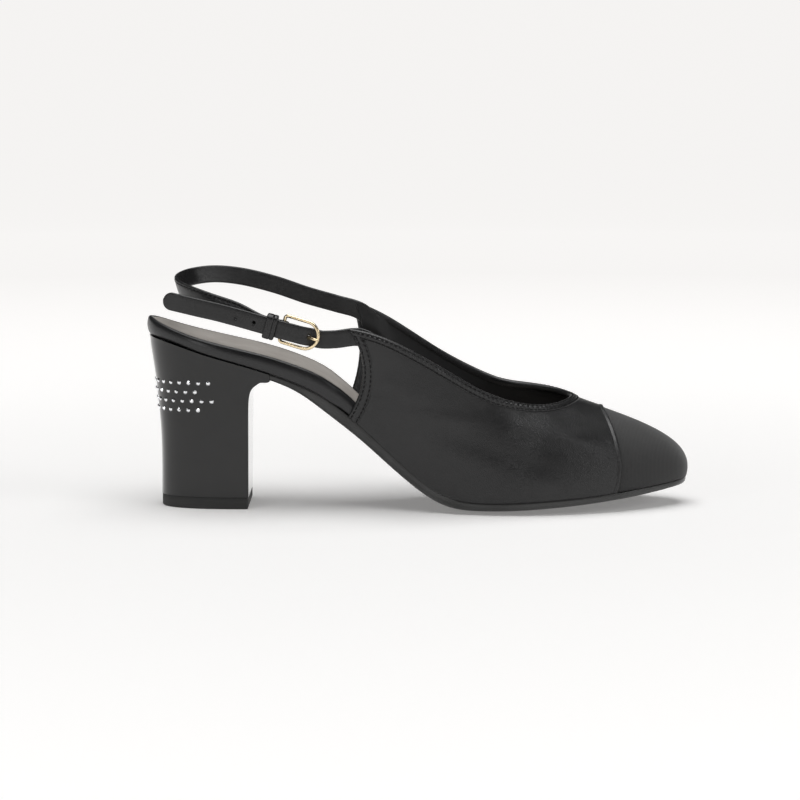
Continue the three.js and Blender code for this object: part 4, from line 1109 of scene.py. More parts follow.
past_toe = 99.0
lining_i, lining_t = lattice(160, 30, 0.05, last_rib - 0.05, 0.01, 1.2)
lining_i, lining_t, lining_faces = cut_lattice(lining_i, lining_t, past_toe, False)
lining_depth = wall_depth(skin_point(lining_i, lining_t)[:, 0])
from_cut = np.minimum(lining_i, last_rib - lining_i)
pocket = (1 - smooth_step(0.62, 0.95, from_cut)) * smooth_step(0.66, 0.8, lining_t)
lining = skin_sheet(lining_i, lining_t, lining_faces, lining_depth - 0.6, lining_depth + 2.7 * pocket)
lining = lining.piece("upper_lining", lining_leather, "black_nappa", 60)

# %% [markdown]
# ## The toe cap and the vamp's turned edge
# The cap lies half a millimetre lower than the vamp, so that the vamp's edge can lie over it.
# The edge itself is leather turned under and stitched from within: a small roll that follows
# the seam. The seam is found by walking along it on the skin in steps of a third of a
# millimetre, and the roll's section is then carried along that walk.

# %% Toe cap and roll
cap_i, cap_t = lattice(260, 90, last_rib * 0.2, last_rib * 0.8, 0.0, 1.0)
cap_i, cap_t, cap_faces = cut_lattice(cap_i, cap_t, -0.6, True)
cap_drop = 0.5
cap = skin_sheet(cap_i, cap_t, cap_faces, np.full(len(cap_i), cap_drop), np.full(len(cap_i), cap_drop + 0.8))
cap = cap.piece("cap", cap_cloth, "cap_cloth", 60)
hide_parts("toe_cap")


def seam_walk(step):
    """Rib numbers and shares along the seam, from the outer sole's edge to the inner one."""
    low, high = last_rib * 0.2, last_rib * 0.5
    for _ in range(40):
        middle = (low + high) / 2
        if seam_gap(middle, 0.0) > 0:
            high = middle
        else:
            low = middle
    place = np.array([(low + high) / 2, 0.0])
    walk = [place]
    small = 1e-4
    heading = np.array([0.0, 1.0])
    while place[1] >= 0 and len(walk) < 2000:
        grow = np.array([
            (seam_gap(place[0] + small, place[1]) - seam_gap(place[0] - small, place[1])) / (2 * small),
            (seam_gap(place[0], place[1] + small) - seam_gap(place[0], place[1] - small)) / (2 * small),
        ])
        along = np.array([grow[1], -grow[0]])
        along *= np.sign(along @ heading)
        heading = along
        moved = skin_point(*(place + along * small)) - skin_point(*place)
        place = place + along * (step * small / np.linalg.norm(moved))
        place = place - grow * seam_gap(*place) / (grow @ grow)
        walk.append(place)
    return np.array(walk)


walk = seam_walk(0.35)
seam_points = skin_point(walk[:, 0], walk[:, 1])
seam_normals = skin_normal(walk[:, 0], walk[:, 1])
seam_along = unit(np.gradient(seam_points, axis=0))
seam_back = np.cross(seam_along, seam_normals)
seam_back *= np.sign(-seam_back[:, :1])
roll_section = (
    (2.2, -0.3), (2.1, -0.05), (1.6, 0.12), (1.1, 0.32), (0.65, 0.42), (0.3, 0.36), (0.05, 0.16),
    (-0.08, -0.12), (-0.05, -0.42), (0.1, -0.62), (0.6, -0.75), (1.8, -0.7),
)
roll = Shell()
roll.rings([
    [seam_points[k] + seam_back[k] * back + seam_normals[k] * up for back, up in roll_section]
    for k in range(len(walk))
])
roll = roll.piece("vamp_turned_edge", nappa, "black_nappa", 80)
print("seam", round(0.35 * (len(walk) - 1)), "mm long")

# %% [markdown]
# ## The folded bands
# The topline and both rear cuts are bound with a folded strip of leather, stitched along both
# sides. The strip is a closed section carried along the edge: it lies on the outside, rounds
# the edge and goes down inside. Between the stitches the leather puffs up, each stitch pulls a
# dent, and where the edge curves inward the fold gathers in small ripples.

# %% Bands
stitch_pitch = 2.1
band_width = 3.5
cut_band_width = 4.2
band_section = (
    # distance from the edge as a share of the width, height above the skin in mm
    (1.07, -0.4), (1.06, 0.05), (1.03, 0.32), (0.96, 0.48), (0.91, 0.47), (0.87, 0.44), (0.83, 0.47),
    (0.76, 0.58), (0.64, 0.68), (0.5, 0.72), (0.36, 0.68), (0.27, 0.56), (0.2, 0.47), (0.13, 0.48),
    (0.05, 0.34), (-0.03, 0.16), (-0.1, -0.14), (-0.15, -0.55), (-0.16, -0.95), (-0.13, -1.4),
    (-0.05, -1.8), (0.08, -2.05), (0.35, -2.15), (0.7, -2.12), (0.84, -1.95), (0.86, -1.5),
)
stitch_lines = (0.2, 0.87)


def band_height(run, share, height, ripple):
    """The section's height with its stitch dents and ripples at a run along the edge."""
    if height < 0:
        return np.full(len(run), height)
    dent = np.zeros(len(run))
    for line in stitch_lines:
        hole = (0.5 + 0.5 * np.cos(2 * math.pi * run / stitch_pitch)) ** 2
        dent += (0.08 + 0.30 * hole) * math.exp(-((share - line) / 0.085) ** 2)
    between = math.exp(-((share - 0.55) / 0.26) ** 2)
    wave = np.sin(2 * math.pi * run / (stitch_pitch * 1.02) + 1.3 * np.sin(run / 5.3) + 2.2 * share)
    slow = np.sin(run / 1.9 + 2.0 * np.sin(run / 7.7))
    gather = ripple * between * (0.26 * wave + 0.12 * slow)
    return height - dent + gather


def edge_walk_numbers(points_at, first, last, step):
    """Evenly spaced numbers along an edge, and how far along it each one lies."""
    numbers = np.linspace(first, last, 4001)
    line = points_at(numbers)
    run = np.concatenate([[0], np.cumsum(np.linalg.norm(np.diff(line, axis=0), axis=1))])
    count = int(run[-1] / step)
    even = np.linspace(0, run[-1], count + 1)
    return np.interp(even, run, numbers), even


def topline_place(numbers, distance, height):
    t = share_below(numbers, max(distance, 0.0))
    past = unit(skin_point(numbers, 1.0) - skin_point(numbers, 0.97)) * max(-distance, 0.0)
    return skin_point(numbers, t) + past + skin_normal(numbers, t) * height[:, None]


def cut_place(numbers, distance, height, inner_side):
    i = rib_inside(numbers, max(distance, 0.0), inner_side)
    edge = last_rib if inner_side else 0.0
    step = -0.03 if inner_side else 0.03
    past = unit(skin_point(edge, numbers) - skin_point(edge + step, numbers)) * max(-distance, 0.0)
    return skin_point(i, numbers) + past + skin_normal(i, numbers) * height[:, None]


def band_body(place, numbers, run, width, ripple, lift=0.0):
    rings = []
    for share, height in band_section:
        high = band_height(run, share, height, ripple)
        high = high + (lift if height > 0 else 0.0)
        rings.append(place(numbers, share * width, high))
    shell = Shell()
    shell.rings(np.stack(rings, 1))
    return shell


top_numbers, top_run = edge_walk_numbers(lambda i: skin_point(i, 1.0), 0.0, last_rib, 0.35)
top_x = skin_point(top_numbers, 1.0)[:, 0]
top_ripple = 0.25 + 0.75 * smooth_step(92, 112, top_x) * (1 - smooth_step(150, 176, top_x))
top_band = band_body(topline_place, top_numbers, top_run, band_width, top_ripple, 0.08)
top_band = top_band.piece("topline_band", band_leather, "black_nappa", 75)

cut_bands = []
for label, edge, inner_side in (("outer", 0.0, False), ("inner", float(last_rib), True)):
    numbers, run = edge_walk_numbers(lambda t, edge=edge: skin_point(edge, t), 0.0, 0.985, 0.35)
    place = lambda n, d, h, inner_side=inner_side: cut_place(n, d, h, inner_side)
    body = band_body(place, numbers, run, cut_band_width, np.full(len(run), 0.35))
    body.piece(f"{label}_cut_band", band_leather, "black_nappa", 75)
    cut_bands.append((place, numbers, run))
print("topline", round(float(top_run[-1])), "mm long")

# %% [markdown]
# ## Stitches
# A stitch is a short bead of thread that sinks into the leather at both ends. One bead is
# drawn as a small grid of points, and a row of stitches is that bead placed again and again
# along a line, turned to the line and to the leather under it. All the stitches of one seam
# are one mesh, so there are few pieces and the thread keeps one finish.

# %% Beads of thread
bead_around = 8
bead_along = 5
bead_turn = np.linspace(0, 2 * math.pi, bead_around, endpoint=False)
bead_lie = np.linspace(-math.pi / 2, math.pi / 2, bead_along + 2)[1:-1]
bead_body = np.array([
    (math.sin(lie), math.cos(lie) ** 0.6 * math.cos(turn), math.cos(lie) ** 0.6 * math.sin(turn))
    for lie in bead_lie for turn in bead_turn
])


def add_beads(shell, places, alongs, normals, long=1.5, wide=0.62, high=0.4):
    for place, along, normal in zip(places, unit(alongs), unit(normals)):
        side = np.cross(normal, along)
        body = (
            place
            + np.outer(bead_body[:, 0] * long / 2, along)
            + np.outer(bead_body[:, 1] * wide / 2, side)
            + np.outer(bead_body[:, 2] * high / 2 - 0.18 * (bead_body[:, 0] ** 2) * high, normal)
        )
        shell.rings(body.reshape(bead_along, bead_around, 3))


def stitch_middles(run):
    """Where the stitches' middles lie: half way between two holes."""
    return np.arange(stitch_pitch / 2, run[-1], stitch_pitch)


def band_stitches(shell, place, numbers, run, width, height):
    middles = stitch_middles(run)
    at = np.interp(middles, run, numbers)
    for line in stitch_lines:
        flat = np.full(len(at), height)
        spot = place(at, line * width, flat)
        ahead = place(np.interp(middles + 0.3, run, numbers), line * width, flat)
        behind = place(np.interp(middles - 0.3, run, numbers), line * width, flat)
        above = place(at, line * width, flat + 0.5)
        add_beads(shell, spot, ahead - behind, above - spot)


top_stitches = Shell()
band_stitches(top_stitches, topline_place, top_numbers, top_run, band_width, 0.52)
top_stitches.piece("topline_stitches", black_thread, "black_nappa", 180)
cut_stitches = Shell()
for place, numbers, run in cut_bands:
    band_stitches(cut_stitches, place, numbers, run, cut_band_width, 0.44)
cut_stitches.piece("cut_stitches", black_thread, "black_nappa", 180)

# %% [markdown]
# ## Straps as soft bands
# A strap is a flat section carried along a smooth route. The route goes through a few places
# and is then walked evenly, so stitches and holes can be set out by length. The section has
# rounded painted edges, a slightly domed face and a shallow channel under each stitch row. At
# a free end it narrows to a half round.

# %% Routes and strap bodies
strap_width = 7.6
strap_thickness = 1.7


def even_route(points, step):
    """An even walk along a smooth curve through the points, and its length."""
    points = np.asarray(points, float)
    ends = np.vstack([2 * points[0] - points[1], points, 2 * points[-1] - points[-2]])
    line = []
    for k in range(len(points) - 1):
        p0, p1, p2, p3 = ends[k:k + 4]
        a, b, c = (math.sqrt(np.linalg.norm(q - p)) for p, q in ((p0, p1), (p1, p2), (p2, p3)))
        leave = ((p1 - p0) / a - (p2 - p0) / (a + b) + (p2 - p1) / b) * b
        reach = ((p2 - p1) / b - (p3 - p1) / (b + c) + (p3 - p2) / c) * b
        u = np.linspace(0, 1, 41)[:, None][:-1]
        line.append(
            p1 * (2 * u ** 3 - 3 * u ** 2 + 1) + leave * (u ** 3 - 2 * u ** 2 + u)
            + p2 * (3 * u ** 2 - 2 * u ** 3) + reach * (u ** 3 - u ** 2)
        )
    line = np.vstack([*line, points[-1:]])
    run = np.concatenate([[0], np.cumsum(np.linalg.norm(np.diff(line, axis=0), axis=1))])
    even = np.linspace(0, run[-1], int(run[-1] / step) + 1)
    return np.stack([np.interp(even, run, line[:, axis]) for axis in range(3)], 1), even


def strap_frame(centre, leans):
    """Directions along, across and out of a strap at each place of its route."""
    along = unit(np.gradient(centre, axis=0))
    flat = unit(np.stack([along[:, 1], -along[:, 0], np.zeros(len(along))], 1))
    up = unit(np.cross(flat, along))
    up *= np.sign(up[:, 2:3])
    angle = np.radians(leans)[:, None]
    across = up * np.cos(angle) + flat * np.sin(angle)
    return along, across, unit(np.cross(along, across))


half_thick = strap_thickness / 2
face_row = (
    # share of the half width, height as a share of the half thickness
    (1.0, 0.0), (0.985, 0.45), (0.94, 0.8), (0.87, 0.97), (0.8, 0.98), (0.73, 0.9), (0.66, 1.0),
    (0.5, 1.1), (0.25, 1.16), (0.0, 1.18), (-0.25, 1.16), (-0.5, 1.1), (-0.66, 1.0),
    (-0.73, 0.9), (-0.8, 0.98), (-0.87, 0.97), (-0.94, 0.8), (-0.985, 0.45), (-1.0, 0.0),
)
back_row = ((-0.985, -0.45), (-0.93, -0.85), (-0.8, -1.0), (-0.4, -1.0), (0.0, -1.0),
            (0.4, -1.0), (0.8, -1.0), (0.93, -0.85), (0.985, -0.45))
strap_section = face_row + back_row
strap_stitch_line = 0.73


def strap_body(centre, run, leans, tip=False):
    """A strap's shell. Stitch holes dent its face, and a free tip ends in a half round."""
    along, across, out = strap_frame(centre, leans)
    half = strap_width / 2
    halves = np.full(len(run), half)
    if tip:
        left = run[-1] - run
        inside = np.minimum(left / half, 1)
        halves = half * np.maximum(np.sqrt(np.maximum(1 - (1 - inside) ** 2, 0)), 0.06)
    hole = (0.5 + 0.5 * np.cos(2 * math.pi * run / stitch_pitch)) ** 2
    rings = []
    for share, height in strap_section:
        high = np.full(len(run), height * half_thick)
        if height > 0:
            line = math.exp(-((abs(share) - strap_stitch_line) / 0.09) ** 2)
            high = high - (0.06 + 0.24 * hole) * line
        if tip:
            high = high * (0.45 + 0.55 * np.minimum(left / 1.2, 1))
        rings.append(centre + across * (halves * share)[:, None] + out * high[:, None])
    shell = Shell()
    shell.rings(np.stack(rings, 1))
    return shell


# %% [markdown]
# ## Places at the buckle
# The buckle, its prong, the keeper and the billet share one set of directions: along the
# strap toward the toe, up across it, and out from the foot. They start at the buckle's bar.

# %% Directions at the buckle
bar = np.array([58.6, -29.4, 77.6])
strap_fall = math.radians(15.4)
along_strap = np.array([math.cos(strap_fall), 0, -math.sin(strap_fall)])
up_strap = np.array([math.sin(strap_fall), 0, math.cos(strap_fall)])
out_strap = np.array([0.0, -1.0, 0.0])
wire_radius = 0.75
buckle_height = 11.3
buckle_length = 15.4
buckle_raise = 0.5
prong_radius = 0.6
chape_radius = 2.15
billet_over_bar = chape_radius + 0.3 + half_thick
billet_at_arc = 1.4
under_arc = buckle_length * 0.8
buckle_tilt = (billet_at_arc + half_thick + 0.3 + wire_radius) / under_arc


def at_buckle(along, up, out):
    along, up, out = np.broadcast_arrays(*(np.asarray(v, float) for v in (along, up, out)))
    return bar + along[..., None] * along_strap + up[..., None] * up_strap + out[..., None] * out_strap


# %% [markdown]
# ## The sling strap
# The sling leaves the inner corner of the upper, passes behind the heel and comes round to
# the buckle. It hangs free, so it leans outward at the back, where its top edge is longer than
# its lower one. Its end is folded round the bar and sewn down: that fold is the chape.

# %% Sling strap and chape
strap_height = 97.0
sling_route = np.array([
    # x, y, z, lean of the upper edge outward in degrees
    (0.345, 0.865, 0.858, 0), (0.29, 0.842, 0.896, 0), (0.23, 0.8, 0.946, 2),
    (0.168, 0.725, 0.985, 8), (0.118, 0.6, 1.0, 16), (0.08, 0.42, 0.994, 22),
    (0.062, 0.2, 0.982, 24), (0.058, 0.0, 0.97, 20), (0.063, -0.2, 0.957, 14),
    (0.084, -0.42, 0.94, 8), (0.122, -0.6, 0.912, 4), (0.17, -0.71, 0.876, 1),
])
root_depth = wall + 0.5 + half_thick
root_rib = last_rib - 0.5
corner_rib = last_rib - 0.12
root = skin_layer(root_rib, share_below(root_rib, strap_width * 0.75 + band_width * 0.4)[0], root_depth)
corner = skin_layer(corner_rib, share_below(corner_rib, strap_width * 0.55)[0], root_depth)
sling_points = np.vstack([
    root, corner, sling_route[:, :3] * (length, half_tread, strap_height),
    at_buckle(-9, 0, 0), at_buckle(-chape_radius * 0.6, 0, 0),
])
sling_centre, sling_run = even_route(sling_points, 0.42)
nearest = np.array([np.argmin(np.linalg.norm(sling_centre - p, axis=1)) for p in sling_points])
sling_leans = np.concatenate([[0, 0], sling_route[:, 3], [0, 0]])
sling_lean = np.interp(np.arange(len(sling_run)), nearest, sling_leans)
sling = strap_body(sling_centre, sling_run, sling_lean).piece("sling", strap_leather, "black_nappa", 60)
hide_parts("sling_strap")

chape = Shell()
prong_slot = 2.6
for low, high in ((-strap_width / 2, -prong_slot / 2), (prong_slot / 2, strap_width / 2)):
    turn = np.linspace(0, 2 * math.pi, 36, endpoint=False)
    rows = []
    for up, shrink in ((low, 0.45), (low + 0.12, 0.15), (low + 0.4, 0.0),
                       (high - 0.4, 0.0), (high - 0.12, 0.15), (high, 0.45)):
        radius = chape_radius - shrink
        rows.append(at_buckle(radius * np.cos(turn), up, radius * np.sin(turn)))
    chape.rings(rows)
chape = chape.piece("chape", strap_leather, "black_nappa", 60)
print("sling", round(float(sling_run[-1])), "mm long")

# %% [markdown]
# ## The billet
# The billet leaves the outer corner, runs under the buckle's arc, over the bar and through
# the keeper, and ends in a free round tip. It has five punched holes, and the prong stands in
# one. The holes are cut from the strap with real cylinders, and all but one go clean through.
# The hole beside the keeper goes half way, so that no bright metal shows behind it.

# %% Billet with punched holes
free_length = 51.0
billet_run_in = np.array([
    # along as a share of the buckle, up of the strap's width, way out from arc to bar
    (1.43, 0.25, 0.1), (1.08, 0.05, 0), (0.84, 0.03, 0), (0.58, 0, 0.68), (0.3, 0, 0.9), (0, 0, 1),
])
free_end = np.array([
    # along as a share of the free length, up and out of the strap's width
    (-0.215, 0.0, 0.303), (-0.373, 0.007, 0.276), (-0.549, -0.007, 0.237),
    (-0.716, -0.066, 0.132), (-0.873, -0.118, -0.026), (-1, -0.164, -0.21),
])
keeper_width = 5.0
billet_root = skin_layer(0.5, share_below(0.5, strap_width * 0.62)[0], root_depth)
billet_corner = skin_layer(0.12, share_below(0.12, strap_width * 0.52)[0], root_depth)
billet_points = np.vstack([
    billet_root,
    billet_corner,
    at_buckle(
        billet_run_in[:, 0] * buckle_length,
        billet_run_in[:, 1] * strap_width,
        mix(billet_at_arc, billet_over_bar, billet_run_in[:, 2]),
    ),
    at_buckle(
        -chape_radius - keeper_width / 2, 0, mix(billet_over_bar, free_end[0, 2] * strap_width, 0.5),
    ),
    at_buckle(free_end[:, 0] * free_length, free_end[:, 1] * strap_width, free_end[:, 2] * strap_width),
])
billet_centre, billet_run = even_route(billet_points, 0.35)
billet = strap_body(billet_centre, billet_run, np.zeros(len(billet_run)), tip=True)
billet = billet.piece("billet", strap_leather, "black_nappa", 60)
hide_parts("billet_strap")

prong_hole = buckle_length * 0.725
hole_pitch = 7.75
hole_radius = 0.7
free_holes = 4
half_deep_hole = 1
punch_reach = 1.6
billet_along, billet_across, billet_out = strap_frame(billet_centre, np.zeros(len(billet_run)))
billet_reach = (billet_centre - bar) @ along_strap
punches = Shell()
for hole in range(free_holes + 1):
    at = np.argmin(np.abs(billet_reach - (prong_hole - hole * hole_pitch)))
    turn = np.linspace(0, 2 * math.pi, 20, endpoint=False)
    ring = np.outer(np.cos(turn), billet_along[at]) + np.outer(np.sin(turn), billet_across[at])
    middle = billet_centre[at]
    inward = 0 if hole == half_deep_hole else punch_reach
    punches.rings([
        middle + ring * hole_radius - billet_out[at] * inward,
        middle + ring * hole_radius + billet_out[at] * punch_reach,
    ])
punch = punches.piece("punches", strap_leather, "black_nappa", 30)
cut = billet.modifiers.new("punched", "BOOLEAN")
cut.operation = "DIFFERENCE"
cut.solver = "EXACT"
cut.object = punch
graph = bpy.context.evaluated_depsgraph_get()
punched = bpy.data.meshes.new_from_object(billet.evaluated_get(graph))
billet.modifiers.clear()
billet.data = punched
bpy.data.objects.remove(punch)
print("billet", round(float(billet_run[-1])), "mm long,", len(punched.polygons), "faces")

# %% [markdown]
# ## Stitches on the straps
# Both straps are sewn along their two edges, and the row runs on round the billet's free tip.
# The same beads of thread are set along each route, sunk into the channel of the strap's face.

# %% Strap stitches
def strap_stitches(shell, centre, run, leans, first, last, round_tip=False):
    along, across, out = strap_frame(centre, leans)
    half = strap_width / 2 * strap_stitch_line
    middles = stitch_middles(run)
    middles = middles[(middles > first) & (middles < last)]
    for side in (1, -1):
        at = np.interp(middles, run, np.arange(len(run))).round().astype(int)
        spot = centre[at] + across[at] * half * side + out[at] * half_thick * 0.92
        add_beads(shell, spot, along[at], out[at])
    if round_tip:
        end = np.argmin(np.abs(run - (run[-1] - strap_width / 2)))
        for turn in np.linspace(-math.pi / 2, math.pi / 2, 6):
            reach = half * math.cos(turn)
            at = np.argmin(np.abs(run - (run[end] + reach)))
            spot = centre[at] + across[at] * half * math.sin(turn) + out[at] * half_thick * 0.9
            heading = -along[at] * math.sin(turn) + across[at] * math.cos(turn)
            add_beads(shell, [spot], heading[None, :], out[at][None, :])


strap_thread = Shell()
strap_stitches(strap_thread, sling_centre, sling_run, sling_lean, 16.0, sling_run[-1] - 3.0)
strap_stitches(
    strap_thread, billet_centre, billet_run, np.zeros(len(billet_run)), 12.0,
    billet_run[-1] - strap_width / 2 - 0.8, True,
)
strap_thread.piece("strap_stitches", black_thread, "black_nappa", 180)

# %% [markdown]
# ## Keeper, buckle and prong
# The keeper is a narrow loop of folded leather that holds the billet down. The buckle is a
# bent wire in the shape of a D: its bar lies in the chape and its arc stands out over the
# billet. The prong is a thinner rod with an eye round the bar. It passes up through the
# billet's hole and rests on the arc. All three are closed sections carried round a path.

# %% Keeper
keeper_thickness = 1.1
keeper_near = -chape_radius - 0.3
room_up = strap_width / 2 + 0.35
room_low = -half_thick - 0.25
room_high = billet_over_bar + half_thick + 0.15
corner_radius = 1.1


def rounded_path(half_up, low, high, radius, steps):
    """A rounded rectangle in up and out, with the direction out of it at each point."""
    path = []
    for up_sign, out_at, start in ((1, high, 0), (-1, high, 1), (-1, low, 2), (1, low, 3)):
        centre_up = up_sign * (half_up - radius)
        centre_out = out_at - radius if out_at == high else out_at + radius
        for turn in np.linspace(start, start + 1, steps) * math.pi / 2:
            ahead = (math.cos(turn), math.sin(turn))
            path.append((centre_up + radius * ahead[0], centre_out + radius * ahead[1], *ahead))
    return path


keeper_section = (
    # along as a share of the width, depth of the leather as a share of its thickness
    (0.0, 0.15), (0.02, 0.6), (0.06, 0.9), (0.12, 1.0), (0.35, 1.05), (0.5, 1.05), (0.585, 0.98),
    (0.615, 0.78), (0.645, 0.98), (0.75, 1.05), (0.88, 1.0), (0.94, 0.9), (0.98, 0.6), (1.0, 0.15),
    (0.95, 0.0), (0.5, 0.0), (0.05, 0.0),
)
keeper = Shell()
keeper_rings = []
for up, out, up_way, out_way in rounded_path(room_up, room_low, room_high, corner_radius, 9):
    ring = []
    for share, depth in keeper_section:
        rise = depth * keeper_thickness
        along = keeper_near - keeper_width * (1 - share)
        ring.append(at_buckle(along, up + up_way * rise, out + out_way * rise))
    keeper_rings.append(ring)
keeper.rings(keeper_rings, loop=True)
keeper = keeper.piece("keeper_loop", band_leather, "black_nappa", 60)
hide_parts("keeper")

# %% [markdown]
# ## Wire for the buckle
# A rod is a ring of points carried along a path, turned to the path at each step. The frame's
# path is closed and goes round the D once. The prong's path is open and ends in a blunt tip.

# %% Buckle and prong
def tube(path, radii, sides=16, loop=False, flatten=1.0, out=out_strap):
    """A round rod along a path."""
    path = np.asarray(path, float)
    if loop:
        along = unit(np.roll(path, -1, 0) - np.roll(path, 1, 0))
    else:
        along = unit(np.gradient(path, axis=0))
    aside = unit(np.cross(along, out))
    over = unit(np.cross(aside, along))
    turn = np.linspace(0, 2 * math.pi, sides, endpoint=False)[:, None]
    rings = []
    for k, middle in enumerate(path):
        round_part = np.cos(turn) * aside[k] + np.sin(turn) * over[k] * flatten
        rings.append(middle + round_part * radii[k])
    return rings


half_high = buckle_height / 2
straight = buckle_length - half_high
bend_radius = 1.3
wire = [(straight + half_high * math.cos(a), half_high * math.sin(a))
        for a in np.linspace(-math.pi / 2, math.pi / 2, 41)]
wire += [(a, half_high) for a in np.linspace(straight, bend_radius, 7)[1:-1]]
wire += [(bend_radius - bend_radius * math.sin(a), half_high - bend_radius + bend_radius * math.cos(a))
         for a in np.linspace(0, math.pi / 2, 9)]
wire += [(0.0, u) for u in np.linspace(half_high - bend_radius, bend_radius - half_high, 9)[1:-1]]
wire += [(bend_radius - bend_radius * math.cos(a), bend_radius - half_high - bend_radius * math.sin(a))
         for a in np.linspace(0, math.pi / 2, 9)]
wire += [(a, -half_high) for a in np.linspace(bend_radius, straight, 7)[1:-1]]
wire = np.array(wire)
wire_path = at_buckle(wire[:, 0], wire[:, 1] + buckle_raise, wire[:, 0] * buckle_tilt)
frame_out = unit(out_strap - along_strap * buckle_tilt)
buckle = Shell()
buckle.rings(tube(wire_path, np.full(len(wire_path), wire_radius), 18, True, 0.92, frame_out), loop=True)
buckle = buckle.piece("buckle", pale_gold, "pale_gold", 180)
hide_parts("buckle_frame")

arc_out = buckle_tilt * buckle_length
prong_tip_out = arc_out + wire_radius + prong_radius
prong_run = np.array([
    # along as a share of the buckle, out as a share of the tip's, girth
    (0.1, 0.06, 1), (0.3, 0.14, 1), (0.5, 0.17, 1), (0.66, 0.25, 1), (0.76, 0.5, 1),
    (0.87, 0.85, 1), (0.96, 0.98, 0.95), (1.02, 0.99, 0.8), (1.045, 0.98, 0.4),
])
prong_shape = smooth_line(prong_run[:, 0] * buckle_length, prong_run[:, 1] * prong_tip_out)
reach = np.linspace(prong_run[0, 0], prong_run[-1, 0], 40) * buckle_length
prong_radii = prong_radius * np.interp(reach, prong_run[:, 0] * buckle_length, prong_run[:, 2])
prong = Shell()
prong.rings(tube(at_buckle(reach, 0.0, prong_shape(reach)), prong_radii, 14))
turn = np.linspace(0, 2 * math.pi, 32, endpoint=False)
eye_rows = []
for up, radius in ((-1.0, 1.0), (-1.0, 1.7), (-0.85, 1.95), (0.85, 1.95), (1.0, 1.7), (1.0, 1.0)):
    eye_rows.append(at_buckle(radius * np.cos(turn), up, radius * np.sin(turn)))
prong.rings(eye_rows, loop=True)
prong = prong.piece("prong", pale_gold, "pale_gold", 50)
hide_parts("buckle_prong")

# %% [markdown]
# ## Small crystals on the heel
# A few rows of round crystals are glued to the heel, evenly staggered round its back. Each is
# a cut dome: eight facets rise to a flat table. A mirror-bright finish makes single facets
# flash and others go dark, which is how small cut stones read from a distance.

# %% Crystals
crystal_radius = 0.95
crystal_rows = (54.0, 50.1, 46.2, 42.3)
crystal_spacing = 4.4
crystal_from = 29.0
stones = Shell()
level_lookup = np.linspace(0, 9, 1801)
count = 0
for row, height in enumerate(crystal_rows):
    u = np.interp(height, level_z(level_lookup), level_lookup)
    ring = heel_level(u)
    lower = heel_level(u - 0.05)
    side = ring[6:77]
    keep = side[:, 0] < crystal_from
    side, under = side[keep], lower[6:77][keep]
    run = np.concatenate([[0], np.cumsum(np.linalg.norm(np.diff(side, axis=0), axis=1))])
    middle = run[-1] / 2
    reach = int(middle / crystal_spacing)
    for step in range(-reach, reach + 1):
        place_run = middle + (step + (0.5 if row % 2 else 0.0)) * crystal_spacing
        if not 0 < place_run < run[-1]:
            continue
        spot = np.array([np.interp(place_run, run, side[:, axis]) for axis in range(3)])
        ahead = np.array([np.interp(place_run + 0.5, run, side[:, axis]) for axis in range(3)])
        behind = np.array([np.interp(place_run - 0.5, run, side[:, axis]) for axis in range(3)])
        below = np.array([np.interp(place_run, run, under[:, axis]) for axis in range(3)])
        along = unit(ahead - behind)
        up = unit(spot - below)
        out = unit(np.cross(up, along))
        if out @ (spot - np.array([24.5, 0, height])) < 0:
            out = -out
        turn = np.linspace(0, 2 * math.pi, 8, endpoint=False) + 0.37 * count
        ring_flat = np.outer(np.cos(turn), along) + np.outer(np.sin(turn), up)
        stones.rings([
            spot + ring_flat * crystal_radius - out * 0.15,
            spot + ring_flat * crystal_radius + out * 0.12,
            spot + ring_flat * crystal_radius * 0.5 + out * 0.55,
        ])
        count += 1
stones.piece("heel_crystals", cut_crystal, "pale_gold", 5)
print(count, "crystals")

# %% [markdown]
# ## Floor and light
# The shoe stands in a pale studio whose floor rises into a low wall with no corner, so no
# horizon shows. Black leather is drawn by what it mirrors: the pale floor and wall in its
# upright parts, a wide soft box overhead and two small ones to the sides in its curves, and the
# dim upper room between them in the soft dark band that runs along the vamp. The floor glows by itself by as
# much as the lamp's light falls short there, so it looks even and shadows still show.

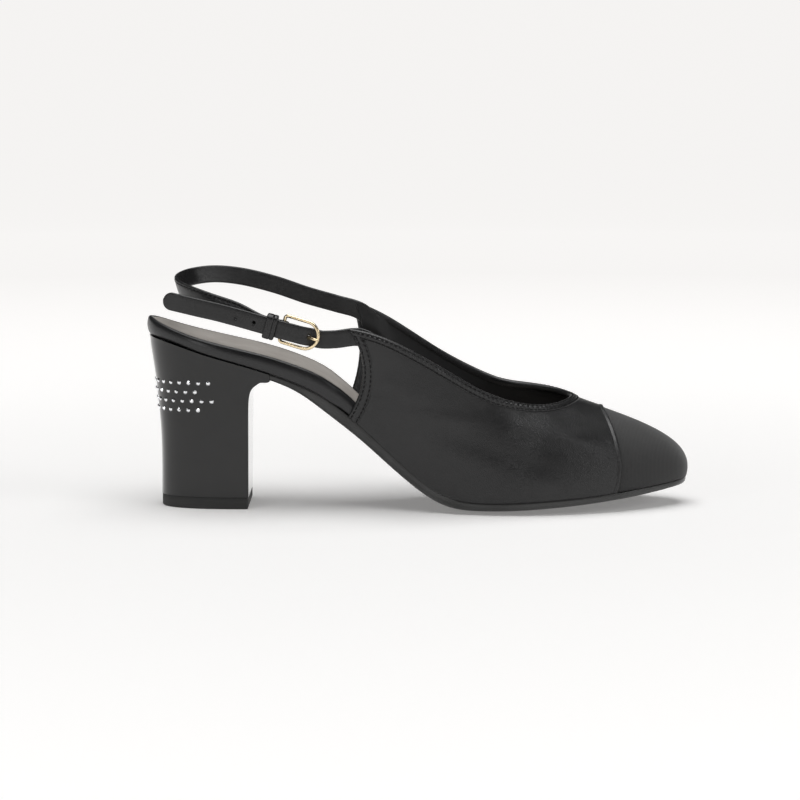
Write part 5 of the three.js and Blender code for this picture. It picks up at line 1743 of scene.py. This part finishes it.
# %% Studio
room_radius = 2400.0
room_curve = 400.0
room_height = 420.0
floor_drop = 0.04
profile_line = [(r, 0.0) for r in np.linspace(0.0, room_radius - room_curve, 8)[1:]]
profile_line += [
    (room_radius - room_curve + room_curve * math.sin(a), room_curve - room_curve * math.cos(a))
    for a in np.linspace(0, math.pi / 2, 16)[1:]
]
profile_line += [(room_radius, room_height)]
around = 96
points = [(0.0, 0.0, -floor_drop)]
for radius, z in profile_line:
    for k in range(around):
        turn = 2 * math.pi * k / around
        points.append((radius * math.cos(turn), radius * math.sin(turn), z - floor_drop))
faces = [(0, 1 + k, 1 + (k + 1) % around) for k in range(around)]
for row in range(len(profile_line) - 1):
    for k in range(around):
        a = 1 + row * around + k
        b = 1 + row * around + (k + 1) % around
        faces.append((a, a + around, b + around, b))
studio = bpy.data.meshes.new("studio")
studio.from_pydata((np.array(points) * millimetre).tolist(), [], faces)
studio.shade_smooth()
plaster = Finish("plaster", Specular_IOR_Level=0.1, Roughness=0.9, Emission_Strength=1.0)
light_middle = (0.02, -0.05, 0.0)
lit_share = 0.72
backdrop = (0.91, 0.897, 0.885)
away = plaster.add(
    "ShaderNodeVectorMath", {"operation": "DISTANCE"}, {0: plaster.place, 1: light_middle}, "Value",
)
far = away.between(0.5, 1.4)
spread = away / 1.15
lit = lit_share * (1.0 - far) / ((spread * spread + 1.0) ** 2.0)
near_floor = plaster.blend(plaster.cloud(400.0), (0.80, 0.795, 0.79), (0.82, 0.815, 0.81))
plaster.feed(
    Base_Color=plaster.blend(far, near_floor, (0.0, 0.0, 0.0)),
    Emission_Color=plaster.blend((lit / backdrop[0]).clamped(), backdrop, (0.0, 0.0, 0.0)),
)
studio.materials.append(plaster.material)
room = bpy.data.objects.new("studio", studio)
bpy.context.scene.collection.objects.link(room)


def soft_light(name, place, aim, size, power):
    light = bpy.data.lights.new(name, "AREA")
    light.shape = "RECTANGLE"
    light.size, light.size_y = (s * millimetre for s in size)
    light.energy = power
    lamp = bpy.data.objects.new(name, light)
    lamp.location = np.array(place) * millimetre
    way = np.array(place, float) - np.array(aim, float)
    flat = math.hypot(way[0], way[1])
    lamp.rotation_euler = (math.atan2(flat, way[2]), 0, math.atan2(way[1], way[0]) + math.pi / 2)
    bpy.context.scene.collection.objects.link(lamp)
    return lamp


soft_light("top_light", (20, -20, 1100), (20, -20, 0), (1300, 900), 12.0)
soft_light("toe_light", (1050, -520, 640), (60, 0, 30), (520, 420), 2.4)
soft_light("back_light", (-760, -980, 460), (0, 0, 50), (420, 300), 1.1)
world = bpy.data.worlds.new("upper_room")
world.use_nodes = True
world.node_tree.nodes["Background"].inputs["Color"].default_value = (1.0, 0.99, 0.98, 1.0)
world.node_tree.nodes["Background"].inputs["Strength"].default_value = 0.05
bpy.context.scene.world = world
